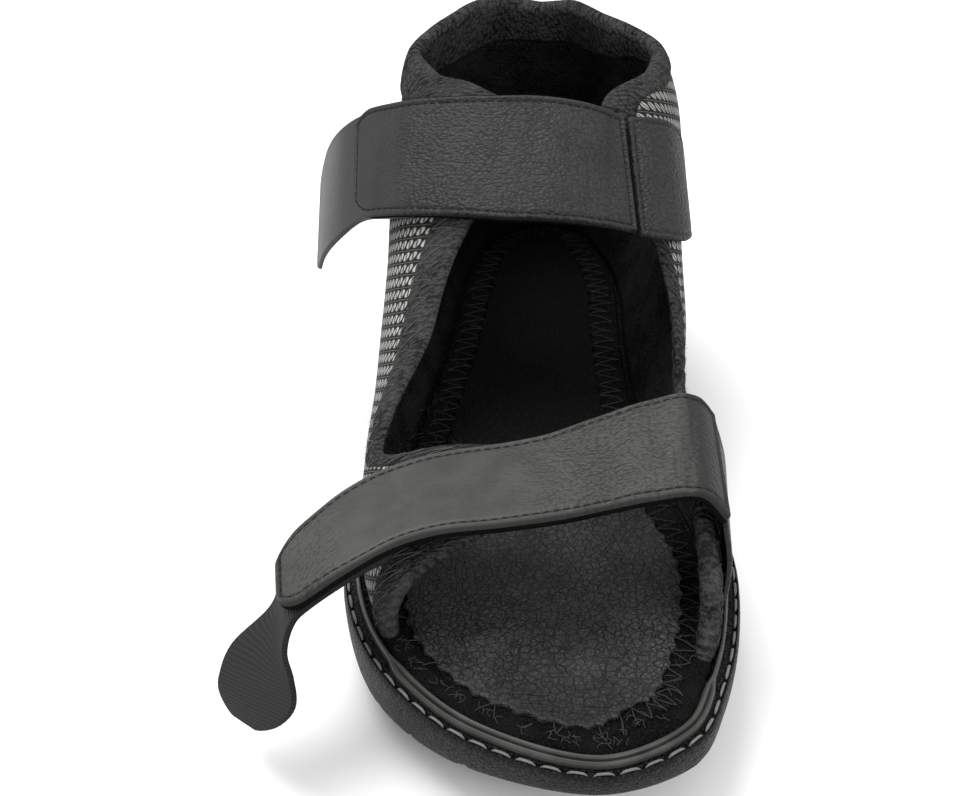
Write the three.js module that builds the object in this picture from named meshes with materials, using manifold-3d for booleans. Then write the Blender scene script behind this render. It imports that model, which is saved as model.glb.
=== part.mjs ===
import * as THREE from 'three';
import { mergeVertices } from 'three/addons/utils/BufferGeometryUtils.js';
import Module from 'manifold-3d';

// Bunion shoe for the right foot, open at the toe, with two straps over the instep.
// X runs to the medial side, -Y to the toe, Z up. The origin is on the floor under mid-length.

// Driving dimensions in millimetres
const soleLength = 275;
const ballWidth = 108;
const soleHeight = 27;
const collarHeight = 122;
const toeSpring = 19;
const heelBevel = 4;
const archRise = 1.6;
const seat = 0.3;
const wallThickness = 3;
const bindingThickness = 5.4;
const wallInset = 8;
const insoleThickness = 1.6;
const coverThickness = 1.2;
const coverMargin = 8.5;
const scallopDepth = 1.1;
const scallopCount = 88;
const weltHeight = 2.6;
const leatherThickness = 1.3;
const strapThickness = 3;
const tapeThickness = 1.3;
const rootCorner = 1;
const patchCorner = 6;
const strapCorner = 9;
const tapeRootCorner = 2;
const ankleTapeCorner = 5;
const forefootTapeCorner = 12;
const panelEdgeWidth = 3;
const panelEdgeRise = 0.6;
const grooveWidth = 2.4;
const grooveDepth = 1.5;
const groovePitch = 13;

// Counts of facets round and across the pieces
const ringPoints = 72;
const wallStations = 80;
const wallRings = 7;
const bindingRings = 3;

const heelY = soleLength / 2;
const wallBase = soleHeight + seat;
const wallRise = collarHeight - wallBase;

// Half widths of the sole as shares of the ball width, s is the share of length from the heel
const soleRows = [
  { s: 0.03, medial: 0.215, lateral: 0.165 },
  { s: 0.1, medial: 0.3, lateral: 0.27 },
  { s: 0.2, medial: 0.345, lateral: 0.325 },
  { s: 0.35, medial: 0.34, lateral: 0.375 },
  { s: 0.5, medial: 0.355, lateral: 0.44 },
  { s: 0.62, medial: 0.41, lateral: 0.479 },
  { s: 0.72, medial: 0.457, lateral: 0.518 },
  { s: 0.82, medial: 0.435, lateral: 0.473 },
  { s: 0.9, medial: 0.38, lateral: 0.362 },
  { s: 0.96, medial: 0.303, lateral: 0.2 },
];
const heelTipShare = 0.03;
const toeTipShare = 0.085;

// Side of the sole: inset from the outline and height as a share between tread and top
const sideRows = [
  { inset: 7, up: 0 },
  { inset: 3.4, up: 0.03 },
  { inset: 1.8, up: 0.14 },
  { inset: 0.8, up: 0.36 },
  { inset: 0.2, up: 0.62 },
  { inset: 0, up: 0.84 },
  { inset: 0.2, up: 0.95 },
  { inset: 0.7, up: 1 },
];
// Stitch groove in the top of the lip, inset and depth below the top
const lipRows = [
  { inset: 1, down: 0.8 },
  { inset: 1.9, down: 0.8 },
  { inset: 2.2, down: 0 },
];

// Ribs of the upper, each a cubic from the sole up: pulls and end as shares of the
// ball width (out, in, lean) and of the wall rise (low, high, top). w is the share of
// length from the heel, medial positive, and runs round the heel below heelTurn.
const heelTurn = 0.15;
const ribRows = [
  { w: -0.92, out: 0, low: 0.06, in: 0.05, high: 0.15, lean: 0.3, top: 0.18 },
  { w: -0.86, out: 0.01, low: 0.09, in: 0.05, high: 0.22, lean: 0.38, top: 0.24 },
  { w: -0.78, out: 0.03, low: 0.12, in: 0.03, high: 0.3, lean: 0.44, top: 0.31 },
  { w: -0.7, out: 0.06, low: 0.16, in: 0, high: 0.36, lean: 0.45, top: 0.37 },
  { w: -0.62, out: 0.115, low: 0.2, in: -0.06, high: 0.44, lean: 0.42, top: 0.44 },
  { w: -0.54, out: 0.13, low: 0.25, in: -0.09, high: 0.54, lean: 0.4, top: 0.53 },
  { w: -0.46, out: 0.142, low: 0.3, in: -0.15, high: 0.68, lean: 0.36, top: 0.63 },
  { w: -0.4, out: 0.152, low: 0.34, in: -0.18, high: 0.81, lean: 0.33, top: 0.73 },
  { w: -0.34, out: 0.16, low: 0.36, in: -0.215, high: 0.96, lean: 0.27, top: 0.87 },
  { w: -0.28, out: 0.14, low: 0.36, in: -0.23, high: 0.98, lean: 0.155, top: 0.95 },
  { w: -0.22, out: 0.12, low: 0.34, in: -0.17, high: 0.82, lean: -0.065, top: 0.985 },
  { w: -0.15, out: 0.09, low: 0.33, in: -0.07, high: 0.68, lean: 0.01, top: 1.01 },
  { w: -0.1, out: 0.07, low: 0.33, in: 0, high: 0.68, lean: 0.085, top: 1.015 },
  { w: -0.05, out: 0.06, low: 0.33, in: 0.06, high: 0.7, lean: 0.185, top: 1.005 },
  { w: 0, out: 0.05, low: 0.33, in: 0.08, high: 0.7, lean: 0.255, top: 1 },
  { w: 0.05, out: 0.06, low: 0.33, in: 0.06, high: 0.7, lean: 0.215, top: 1 },
  { w: 0.1, out: 0.07, low: 0.33, in: 0, high: 0.68, lean: 0.14, top: 1.005 },
  { w: 0.15, out: 0.09, low: 0.33, in: -0.07, high: 0.68, lean: 0.08, top: 1 },
  { w: 0.22, out: 0.12, low: 0.34, in: -0.15, high: 0.82, lean: -0.045, top: 0.975 },
  { w: 0.28, out: 0.14, low: 0.36, in: -0.2, high: 0.93, lean: 0.01, top: 0.95 },
  { w: 0.34, out: 0.14, low: 0.36, in: -0.2, high: 0.85, lean: 0.11, top: 0.88 },
  { w: 0.4, out: 0.145, low: 0.34, in: -0.196, high: 0.61, lean: 0.052, top: 0.68 },
  { w: 0.46, out: 0.145, low: 0.25, in: -0.18, high: 0.44, lean: -0.05, top: 0.46 },
  { w: 0.54, out: 0.1, low: 0.19, in: -0.12, high: 0.26, lean: -0.09, top: 0.36 },
  { w: 0.62, out: 0.065, low: 0.18, in: -0.07, high: 0.27, lean: -0.045, top: 0.38 },
  { w: 0.7, out: 0.01, low: 0.13, in: 0.01, high: 0.28, lean: 0.04, top: 0.41 },
  { w: 0.78, out: 0.01, low: 0.12, in: 0.02, high: 0.26, lean: 0.055, top: 0.37 },
  { w: 0.86, out: 0.01, low: 0.09, in: 0, high: 0.19, lean: 0.04, top: 0.3 },
  { w: 0.92, out: 0.01, low: 0.06, in: 0.01, high: 0.12, lean: 0.04, top: 0.22 },
];

// Free edge of the upper from the medial front round the heel to the lateral front:
// foot is where the line starts on the sole, w and reach where it ends on the ribs,
// band is the width of the knit binding along it as a share of the line.
const edgeRows = [
  { foot: 0.83, w: 0.885, reach: 0.04, band: 0.55 },
  { foot: 0.822, w: 0.865, reach: 0.36, band: 0.5 },
  { foot: 0.8, w: 0.835, reach: 0.68, band: 0.42 },
  { foot: 0.765, w: 0.785, reach: 0.87, band: 0.36 },
  { foot: 0.72, w: 0.725, reach: 0.9, band: 0.36 },
  { foot: 0.68, w: 0.68, reach: 0.82, band: 0.4 },
  { foot: 0.64, w: 0.64, reach: 0.6, band: 0.5 },
  { foot: 0.6, w: 0.6, reach: 0.46, band: 0.56 },
  { foot: 0.555, w: 0.555, reach: 0.45, band: 0.54 },
  { foot: 0.51, w: 0.505, reach: 0.57, band: 0.44 },
  { foot: 0.46, w: 0.45, reach: 0.76, band: 0.3 },
  { foot: 0.41, w: 0.4, reach: 0.88, band: 0.24 },
  { foot: 0.365, w: 0.36, reach: 0.97, band: 0.18 },
  { foot: 0.33, w: 0.325, reach: 0.99, band: 0.17 },
  { foot: 0.285, w: 0.285, reach: 0.93, band: 0.17 },
  { foot: 0.23, w: 0.23, reach: 0.97, band: 0.17 },
  { foot: 0.17, w: 0.17, reach: 1.0, band: 0.17 },
  { foot: 0.1, w: 0.1, reach: 1.0, band: 0.16 },
  { foot: 0.0, w: 0.0, reach: 1.0, band: 0.15 },
  { foot: -0.1, w: -0.1, reach: 1.0, band: 0.16 },
  { foot: -0.17, w: -0.17, reach: 0.99, band: 0.17 },
  { foot: -0.225, w: -0.225, reach: 0.93, band: 0.18 },
  { foot: -0.275, w: -0.275, reach: 0.85, band: 0.19 },
  { foot: -0.315, w: -0.31, reach: 0.92, band: 0.2 },
  { foot: -0.35, w: -0.345, reach: 0.985, band: 0.2 },
  { foot: -0.39, w: -0.385, reach: 0.93, band: 0.2 },
  { foot: -0.44, w: -0.435, reach: 0.82, band: 0.22 },
  { foot: -0.5, w: -0.5, reach: 0.7, band: 0.26 },
  { foot: -0.56, w: -0.565, reach: 0.62, band: 0.3 },
  { foot: -0.61, w: -0.62, reach: 0.52, band: 0.4 },
  { foot: -0.645, w: -0.655, reach: 0.48, band: 0.44 },
  { foot: -0.672, w: -0.682, reach: 0.62, band: 0.36 },
  { foot: -0.695, w: -0.697, reach: 0.83, band: 0.3 },
  { foot: -0.715, w: -0.715, reach: 0.95, band: 0.3 },
  { foot: -0.74, w: -0.748, reach: 0.97, band: 0.32 },
  { foot: -0.765, w: -0.782, reach: 0.92, band: 0.36 },
  { foot: -0.785, w: -0.806, reach: 0.8, band: 0.42 },
  { foot: -0.797, w: -0.823, reach: 0.6, band: 0.5 },
  { foot: -0.803, w: -0.838, reach: 0.34, band: 0.55 },
  { foot: -0.806, w: -0.85, reach: 0.04, band: 0.6 },
];

// Waisted heel panel: half width as a share of the wrap round the heel, by reach
const panelRows = [
  { reach: 0.05, half: 0.128 },
  { reach: 0.2, half: 0.112 },
  { reach: 0.4, half: 0.098 },
  { reach: 0.6, half: 0.094 },
  { reach: 0.82, half: 0.1 },
];

// Patches, straps and hook tapes: each row is one crossing of the band, from its upper or
// rear edge (h) to its lower or front edge (l). x is a share of the ball width, y of the
// sole length and z of the wall rise above the sole.
const anklePatchRows = [
  { hx: 0.3981, hy: 0.1818, hz: 0.736, lx: 0.4102, ly: 0.1018, lz: 0.4931 },
  { hx: 0.3833, hy: 0.1745, hz: 0.7888, lx: 0.4046, ly: 0.0855, lz: 0.5301 },
  { hx: 0.3444, hy: 0.1582, hz: 0.8448, lx: 0.3676, ly: 0.0673, lz: 0.5618 },
  { hx: 0.287, hy: 0.1455, hz: 0.8733, lx: 0.3083, ly: 0.0567, lz: 0.5882 },
  { hx: 0.2296, hy: 0.14, hz: 0.8817, lx: 0.2574, ly: 0.0545, lz: 0.6019 },
];
const ankleStrapRows = [
  { hx: 0.2194, hy: 0.1382, hz: 0.8838, lx: 0.2481, ly: 0.0545, lz: 0.6072 },
  { hx: 0.1204, hy: 0.1309, hz: 0.9366, lx: 0.1389, ly: 0.04, lz: 0.6568 },
  { hx: 0, hy: 0.1291, hz: 0.963, lx: 0.0093, ly: 0.0345, lz: 0.6832 },
  { hx: -0.1111, hy: 0.1309, hz: 0.963, lx: -0.1111, ly: 0.0364, lz: 0.6885 },
  { hx: -0.2222, hy: 0.1382, hz: 0.9525, lx: -0.2222, ly: 0.0436, lz: 0.6885 },
  { hx: -0.338, hy: 0.1527, hz: 0.9261, lx: -0.3426, ly: 0.0618, lz: 0.6674 },
  { hx: -0.4259, hy: 0.1782, hz: 0.8786, lx: -0.4352, ly: 0.0855, lz: 0.6304 },
  { hx: -0.5093, hy: 0.2073, hz: 0.8205, lx: -0.5139, ly: 0.1145, lz: 0.5776 },
];
const ankleTailRows = [
  { hx: -0.5593, hy: 0.2291, hz: 0.736, lx: -0.5676, ly: 0.1327, lz: 0.4826 },
  { hx: -0.6111, hy: 0.2582, hz: 0.6304, lx: -0.6204, ly: 0.1527, lz: 0.3875 },
  { hx: -0.6454, hy: 0.2764, hz: 0.5037, lx: -0.65, ly: 0.1745, lz: 0.2819 },
];
const forefootPatchRows = [
  { hx: 0.4259, hy: -0.2073, hz: 0.1763, lx: 0.4241, ly: -0.32, lz: 0.1341 },
  { hx: 0.413, hy: -0.2018, hz: 0.3136, lx: 0.4139, ly: -0.32, lz: 0.2291 },
  { hx: 0.3852, hy: -0.1964, hz: 0.4192, lx: 0.3889, ly: -0.3164, lz: 0.3347 },
];
const forefootStrapRows = [
  { hx: 0.3796, hy: -0.1956, hz: 0.4298, lx: 0.3833, ly: -0.316, lz: 0.3474 },
  { hx: 0.3259, hy: -0.1891, hz: 0.4879, lx: 0.3222, ly: -0.3109, lz: 0.4171 },
  { hx: 0.225, hy: -0.1927, hz: 0.472, lx: 0.2222, ly: -0.3127, lz: 0.4139 },
  { hx: 0.1037, hy: -0.2, hz: 0.4351, lx: 0.1111, ly: -0.3182, lz: 0.3981 },
  { hx: -0.0111, hy: -0.2109, hz: 0.4034, lx: 0.0074, ly: -0.3236, lz: 0.3823 },
  { hx: -0.1444, hy: -0.2182, hz: 0.3875, lx: -0.125, ly: -0.3309, lz: 0.377 },
  { hx: -0.2741, hy: -0.2255, hz: 0.377, lx: -0.2593, ly: -0.3364, lz: 0.3717 },
  { hx: -0.3861, hy: -0.2382, hz: 0.3611, lx: -0.3657, ly: -0.3455, lz: 0.3506 },
  { hx: -0.4815, hy: -0.2582, hz: 0.3326, lx: -0.4583, ly: -0.36, lz: 0.3136 },
  { hx: -0.5741, hy: -0.2855, hz: 0.2872, lx: -0.5491, ly: -0.3782, lz: 0.2714 },
  { hx: -0.6389, hy: -0.3073, hz: 0.245, lx: -0.6111, ly: -0.3927, lz: 0.245 },
];
const forefootTailRows = [
  { hx: -0.6185, hy: -0.3036, hz: 0.2101, lx: -0.5815, ly: -0.3902, lz: 0.2207 },
  { hx: -0.6519, hy: -0.3218, hz: 0.1088, lx: -0.5981, ly: -0.4055, lz: 0.1658 },
  { hx: -0.7454, hy: -0.3436, hz: 0.0306, lx: -0.5815, ly: -0.4236, lz: 0.1246 },
  { hx: -0.7824, hy: -0.3527, hz: -0.0623, lx: -0.5815, ly: -0.4309, lz: 0.0496 },
  { hx: -0.7963, hy: -0.3527, hz: -0.1616, lx: -0.6296, ly: -0.4309, lz: -0.0739 },
];

const wasm = await Module();
wasm.setup();

// Smooth value of one column of a table at a place along its key
function column(rows, key, name, at) {
  const last = rows.length - 1;
  if (at <= rows[0][key]) return rows[0][name];
  if (at >= rows[last][key]) return rows[last][name];
  let i = 0;
  while (rows[i + 1][key] < at) i += 1;
  const slope = (a, b) => (rows[b][name] - rows[a][name]) / (rows[b][key] - rows[a][key]);
  const span = rows[i + 1][key] - rows[i][key];
  const here = slope(i, i + 1);
  const before = i > 0 ? slope(i - 1, i + 1) : here;
  const after = i + 1 < last ? slope(i, i + 2) : here;
  const t = (at - rows[i][key]) / span;
  const h = (1 - t) * (1 - t);
  return rows[i][name] * (1 + 2 * t) * h + before * span * t * h
    + rows[i + 1][name] * t * t * (3 - 2 * t) - after * span * t * t * (1 - t);
}

// A table read by row number, for paths whose rows are not a function of one key
function numbered(rows) {
  return rows.map((row, index) => ({ ...row, index }));
}

function solePoint(s, side) {
  const half = column(soleRows, 's', side > 0 ? 'medial' : 'lateral', s) * ballWidth;
  return new THREE.Vector3(side * half, heelY - s * soleLength, 0);
}

// Closed outline of the sole, starting at the heel and passing the medial side first
function soleCurve() {
  const points = [new THREE.Vector3(heelTipShare * ballWidth, heelY, 0)];
  for (const row of soleRows) points.push(solePoint(row.s, 1));
  points.push(new THREE.Vector3(toeTipShare * ballWidth, -heelY, 0));
  for (const row of soleRows.slice().reverse()) points.push(solePoint(row.s, -1));
  return new THREE.CatmullRomCurve3(points, true, 'centripetal');
}
const outline = soleCurve();
outline.arcLengthDivisions = 1200;

// Point at a share of the way round the outline, moved inward by an inset
function outlineAt(share, inset) {
  const u = ((share % 1) + 1) % 1;
  const p = outline.getPointAt(u);
  const d = outline.getTangentAt(u);
  p.x += d.y * inset;
  p.y -= d.x * inset;
  return p;
}
function ring(inset, count) {
  const points = [];
  for (let i = 0; i < count; i += 1) points.push(outlineAt(i / count, inset));
  return points;
}

const smooth = (t) => {
  const c = Math.min(Math.max(t, 0), 1);
  return c * c * (3 - 2 * c);
};

// Height of the tread: flat heel and ball, low arch between, rising toe and bevelled heel
const springStart = 0.64;
const archStart = 0.26;
const archEnd = 0.42;
const archBlend = 0.06;
function treadHeight(y) {
  const s = (heelY - y) / soleLength;
  const spring = Math.max(0, (s - springStart) / (1 - springStart));
  const bevel = Math.max(0, (0.07 - s) / 0.07);
  const arch = smooth((s - archStart) / archBlend) * smooth((archEnd - s) / archBlend);
  return toeSpring * spring ** 1.7 + heelBevel * bevel ** 2 + archRise * arch;
}

// Solid from rings of points, closed by fans across the first and last ring
function ringSolid(rings, capEnds) {
  const count = rings[0].length;
  const positions = [];
  const index = [];
  for (const points of rings) for (const p of points) positions.push(p.x, p.y, p.z);
  const level = capEnds ? rings.length - 1 : rings.length;
  for (let r = 0; r < level; r += 1) {
    const next = (r + 1) % rings.length;
    for (let i = 0; i < count; i += 1) {
      const j = (i + 1) % count;
      const a = r * count + i;
      const b = r * count + j;
      const c = next * count + i;
      const d = next * count + j;
      index.push(a, d, b, a, c, d);
    }
  }
  if (capEnds) {
    const half = count / 2;
    const top = (rings.length - 1) * count;
    for (let i = 0; i < half; i += 1) {
      const a = i;
      const b = i + 1;
      const c = (count - i) % count;
      const d = (count - i - 1) % count;
      if (i > 0) {
        index.push(a, b, c);
        index.push(top + a, top + c, top + b);
      }
      if (i + 1 < half) {
        index.push(b, d, c);
        index.push(top + b, top + c, top + d);
      }
    }
  }
  return closed(positions, index);
}

function closed(positions, index) {
  const geometry = new THREE.BufferGeometry();
  geometry.setAttribute('position', new THREE.Float32BufferAttribute(positions, 3));
  geometry.setIndex(index);
  return geometry;
}

// Height and x,y of a ring of the sole, matched left and right by their place round it
function levelRing(row) {
  return ring(row.inset, ringPoints).map((p) => {
    const low = treadHeight(p.y);
    return new THREE.Vector3(p.x, p.y, low + row.up * (soleHeight - low));
  });
}

function asManifold(geometry) {
  const plain = geometry.clone();
  plain.deleteAttribute('normal');
  plain.deleteAttribute('uv');
  const merged = mergeVertices(plain, 1e-4);
  return new wasm.Manifold(new wasm.Mesh({
    numProp: 3,
    vertProperties: new Float32Array(merged.attributes.position.array),
    triVerts: new Uint32Array(merged.index.array),
  }));
}
function asGeometry(solid) {
  const mesh = solid.getMesh();
  return closed(Array.from(mesh.vertProperties), Array.from(mesh.triVerts));
}

function outsole() {
  const rings = sideRows.map(levelRing);
  for (const row of lipRows) {
    rings.push(ring(row.inset, ringPoints).map((p) => p.setZ(soleHeight - row.down)));
  }
  let solid = asManifold(ringSolid(rings, true));
  for (let y = heelY - groovePitch; y > -heelY + groovePitch; y -= groovePitch) {
    const tilt = Math.atan((treadHeight(y - 2) - treadHeight(y + 2)) / 4);
    const bar = new THREE.BoxGeometry(ballWidth * 1.4, grooveWidth, grooveDepth * 2);
    bar.rotateX(-tilt);
    bar.translate(0, y, treadHeight(y));
    solid = solid.subtract(asManifold(bar));
  }
  return asGeometry(solid);
}

// Share of the way round the outline for a station w of the upper
const samples = 720;
const shareBySide = [1, -1].map((side) => {
  const list = [];
  for (let i = 0; i <= samples; i += 1) {
    const share = (side * 0.5 * i) / samples;
    list.push({ share, s: (heelY - outlineAt(share, 0).y) / soleLength });
  }
  return list;
});
function shareAtLength(s, side) {
  const list = shareBySide[side > 0 ? 0 : 1];
  let i = 1;
  while (i < samples && list[i].s < s) i += 1;
  const t = (s - list[i - 1].s) / (list[i].s - list[i - 1].s);
  return list[i - 1].share + t * (list[i].share - list[i - 1].share);
}
function shareAt(w) {
  const side = w < 0 ? -1 : 1;
  const s = Math.abs(w);
  if (s >= heelTurn) return shareAtLength(s, side);
  return shareAtLength(heelTurn, side) * (s / heelTurn);
}

// Point of the upper's middle surface: rib w, reach from the sole (0) to the rib's end (1)
const heelCentreY = heelY - 0.19 * soleLength;
function upperPoint(w, reach) {
  const foot = outlineAt(shareAt(w), wallInset);
  const inward = new THREE.Vector3(-foot.x, Math.min(0, heelCentreY - foot.y), 0);
  inward.normalize();
  const value = (name) => column(ribRows, 'w', name, w);
  const t = reach;
  const b = 3 * (1 - t) * (1 - t) * t;
  const c = 3 * (1 - t) * t * t;
  const d = t * t * t;
  const along = (-b * value('out') + c * value('in') + d * value('lean')) * ballWidth;
  const up = (b * value('low') + c * value('high') + d * value('top')) * wallRise;
  return new THREE.Vector3(foot.x + inward.x * along, foot.y + inward.y * along, wallBase + up);
}
function outwardAt(place, u, v) {
  const step = 1e-3;
  const du = place(u + step, v).sub(place(u - step, v));
  const dv = place(u, v + step).sub(place(u, v - step));
  return du.cross(dv).normalize();
}

// Sheet with two faces: place(u, v) is its middle surface, low and high its offsets
function sheetSolid(place, uCount, vCount, low, high, floor = 0) {
  const positions = [];
  const index = [];
  const row = vCount + 1;
  for (const offset of [high, low]) {
    for (let i = 0; i <= uCount; i += 1) {
      for (let j = 0; j <= vCount; j += 1) {
        const u = i / uCount;
        const v = j / vCount;
        const p = place(u, v).addScaledVector(outwardAt(place, u, v), offset(u, v));
        positions.push(p.x, p.y, Math.max(p.z, floor));
      }
    }
  }
  const back = (uCount + 1) * row;
  for (let i = 0; i < uCount; i += 1) {
    for (let j = 0; j < vCount; j += 1) {
      const a = i * row + j;
      const b = a + row;
      index.push(a, b, b + 1, a, b + 1, a + 1);
      index.push(back + a, back + b + 1, back + b, back + a, back + a + 1, back + b + 1);
    }
  }
  const wall = (a, b) => index.push(a, back + a, back + b, a, back + b, b);
  for (let i = 0; i < uCount; i += 1) {
    wall(i * row, (i + 1) * row);
    wall((i + 1) * row + vCount, i * row + vCount);
  }
  for (let j = 0; j < vCount; j += 1) {
    wall(j + 1, j);
    wall(uCount * row + j, uCount * row + j + 1);
  }
  return closed(positions, index);
}

// Line u across the upper: from its foot on the sole to its place on the free edge
const edges = numbered(edgeRows);
function edgeLine(u, share) {
  const at = u * (edges.length - 1);
  const foot = column(edges, 'index', 'foot', at);
  const w = column(edges, 'index', 'w', at);
  const reach = column(edges, 'index', 'reach', at);
  return upperPoint(foot + (w - foot) * share, reach * share);
}
const bandShare = (u) => column(edges, 'index', 'band', u * (edges.length - 1));
const bandGap = 3.4 * seat;

function upper() {
  const place = (u, v) => edgeLine(1 - u, v * (1 - bandShare(1 - u)));
  const half = () => wallThickness / 2;
  return sheetSolid(place, wallStations, wallRings, () => -half(), half, wallBase);
}
function binding() {
  const place = (u, v) => {
    const length = edgeLine(1 - u, 0).distanceTo(edgeLine(1 - u, 1));
    const start = 1 - bandShare(1 - u) + bandGap / length;
    return edgeLine(1 - u, start + v * (1 - start));
  };
  const round = (v) => Math.min(1, 0.55 + 1.1 * Math.min(v, 1 - v));
  const half = (u, v) => round(v) * bindingThickness / 2;
  return sheetSolid(place, wallStations, bindingRings, (u, v) => -half(u, v), half, wallBase);
}
function heelPanel() {
  const topReach = panelRows[panelRows.length - 1].reach;
  const lowReach = panelRows[0].reach;
  const place = (u, v) => {
    const reach = lowReach + v * (topReach - lowReach);
    return upperPoint((1 - 2 * u) * column(panelRows, 'reach', 'half', reach), reach);
  };
  const under = () => wallThickness / 2 + seat;
  const over = (u) => {
    const fromEdge = Math.min(u, 1 - u) * soleLength * 0.42;
    const rise = fromEdge < panelEdgeWidth ? panelEdgeRise : 0;
    return wallThickness / 2 + seat + leatherThickness + rise;
  };
  return sheetSolid(place, 24, 7, under, over, wallBase);
}

// Ring that covers the joint between upper and sole, wider where the toe is open
const weltOpen = 0.865;
function welt() {
  const narrow = [
    { inset: 3.5, up: 0 }, { inset: 3.5, up: 0.6 }, { inset: 3.7, up: 0.85 }, { inset: 3.9, up: 1 },
    { inset: 4.1, up: 1 }, { inset: 4.3, up: 1 }, { inset: 4.5, up: 0.9 }, { inset: 4.8, up: 0 },
  ];
  const wide = [
    { inset: 2.7, up: 0 }, { inset: 2.7, up: 0.4 }, { inset: 3.2, up: 0.6 }, { inset: 6.9, up: 0.75 },
    { inset: 7.4, up: 0.6 }, { inset: 7.9, up: 0.95 }, { inset: 9.4, up: 0.95 }, { inset: 9.7, up: 0 },
  ];
  const rings = narrow.map((thin, k) => {
    const points = [];
    for (let i = 0; i < ringPoints; i += 1) {
      const s = (heelY - outlineAt(i / ringPoints, 0).y) / soleLength;
      const lateral = i / ringPoints > 0.5;
      const open = smooth((s - (lateral ? weltOpen : weltOpen + 0.03)) / 0.02);
      const inset = thin.inset + open * (wide[k].inset - thin.inset);
      const up = thin.up + open * (wide[k].up - thin.up);
      points.push(outlineAt(i / ringPoints, inset).setZ(wallBase + up * weltHeight));
    }
    return points;
  });
  return ringSolid(rings, false);
}

function slab(inset, base, thickness, count, wave) {
  const rows = [
    { in: 0, up: 0 },
    { in: 0, up: 0.6 },
    { in: 0.6, up: 1 },
  ];
  const rings = rows.map((row) => {
    const points = [];
    for (let i = 0; i < count; i += 1) {
      const p = outlineAt(i / count, inset + row.in + wave(i / count));
      points.push(p.setZ(base + row.up * thickness));
    }
    return points;
  });
  return ringSolid(rings, true);
}
const insoleInset = wallInset + bindingThickness / 2;
const insole = () => slab(insoleInset, wallBase, insoleThickness, ringPoints, () => 0);
function insoleCover() {
  const wave = (share) => scallopDepth * Math.abs(Math.cos(Math.PI * share * scallopCount));
  const base = wallBase + insoleThickness + seat;
  return slab(insoleInset + coverMargin, base, coverThickness, scallopCount * 2, wave);
}

// Rows of a band in millimetres, from their shares of the named sizes
function placed(rows) {
  const x = (share) => share * ballWidth;
  const y = (share) => share * soleLength;
  const z = (share) => wallBase + share * wallRise;
  return rows.map((row) => ({
    hx: x(row.hx), hy: y(row.hy), hz: z(row.hz), lx: x(row.lx), ly: y(row.ly), lz: z(row.lz),
  }));
}

// Band between its two long edges; each end may be rounded by a corner radius
function bandPlace(table, startRadius, endRadius) {
  const rows = numbered(table);
  const last = rows.length - 1;
  const vector = (at, side) => new THREE.Vector3(
    column(rows, 'index', `${side}x`, at),
    column(rows, 'index', `${side}y`, at),
    column(rows, 'index', `${side}z`, at),
  );
  const middle = (at) => vector(at, 'h').add(vector(at, 'l')).multiplyScalar(0.5);
  const steps = 60;
  const lengths = [0];
  for (let i = 1; i <= steps; i += 1) {
    const here = middle((last * i) / steps).distanceTo(middle((last * (i - 1)) / steps));
    lengths.push(lengths[i - 1] + here);
  }
  const total = lengths[steps];
  const atLength = (distance) => {
    let i = 1;
    while (i < steps && lengths[i] < distance) i += 1;
    const t = (distance - lengths[i - 1]) / (lengths[i] - lengths[i - 1]);
    return (last * (i - 1 + t)) / steps;
  };
  const cut = (distance, radius) => {
    const e = Math.min(Math.max(distance, 0), radius);
    return radius - Math.sqrt(Math.max(0, radius * radius - (radius - e) * (radius - e)));
  };
  return (u, v) => {
    // stations crowd toward both ends so the corners come out round
    const s = u < 0 || u > 1 ? u : u - Math.sin(2 * Math.PI * u) * 0.11;
    const distance = s * total;
    const at = atLength(distance);
    const high = vector(at, 'h');
    const low = vector(at, 'l');
    const width = high.distanceTo(low);
    const trim = Math.max(cut(distance, startRadius), cut(total - distance, endRadius)) * 0.96;
    const share = (trim + v * (width - 2 * trim)) / width;
    return high.lerp(low, share);
  };
}
function band(table, thickness, startRadius, endRadius, uCount, vCount) {
  const place = bandPlace(table, startRadius, endRadius);
  const half = () => thickness / 2;
  return sheetSolid(place, uCount, vCount, () => -half(), half);
}

// Rows of a tape under the end of its strap: the strap's rows moved in by their thickness
function beneath(rows, first) {
  const drop = strapThickness / 2 + seat + tapeThickness / 2;
  return rows.slice(first).map((row, i) => {
    const next = rows[Math.min(first + i + 1, rows.length - 1)];
    const past = rows[first + i - 1];
    const along = new THREE.Vector3(next.hx - past.hx, next.hy - past.hy, next.hz - past.hz);
    const across = new THREE.Vector3(row.lx - row.hx, row.ly - row.hy, row.lz - row.hz);
    const inward = across.cross(along).normalize().multiplyScalar(drop);
    return {
      hx: row.hx + inward.x, hy: row.hy + inward.y, hz: row.hz + inward.z,
      lx: row.lx + inward.x, ly: row.ly + inward.y, lz: row.lz + inward.z,
    };
  });
}

const shoe = new THREE.Group();
function add(name, geometry, color, roughness) {
  const material = new THREE.MeshStandardMaterial({ color, roughness, metalness: 0 });
  const mesh = new THREE.Mesh(geometry, material);
  mesh.name = name;
  shoe.add(mesh);
}

const rubberGrey = 0x2b2b2c;
const leatherGrey = 0x4a4b48;
const panelGrey = 0x333334;
const knitBlack = 0x2c2d2f;
const meshGrey = 0x6f6e69;
const tapeGrey = 0x3a3b3c;

add('outsole', outsole(), rubberGrey, 0.75);
add('welt', welt(), leatherGrey, 0.4);
add('insole', insole(), knitBlack, 0.95);
add('insole_cover', insoleCover(), panelGrey, 0.6);
add('upper', upper(), meshGrey, 0.85);
add('binding', binding(), knitBlack, 0.95);
add('heel_panel', heelPanel(), panelGrey, 0.5);
const [anklePatch, ankleStrap, ankleTail] = [anklePatchRows, ankleStrapRows, ankleTailRows].map(placed);
const [forefootPatch, forefootStrap, forefootTail] =
  [forefootPatchRows, forefootStrapRows, forefootTailRows].map(placed);
const ankleTape = [...beneath(ankleStrap, 5), ...ankleTail];
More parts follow.
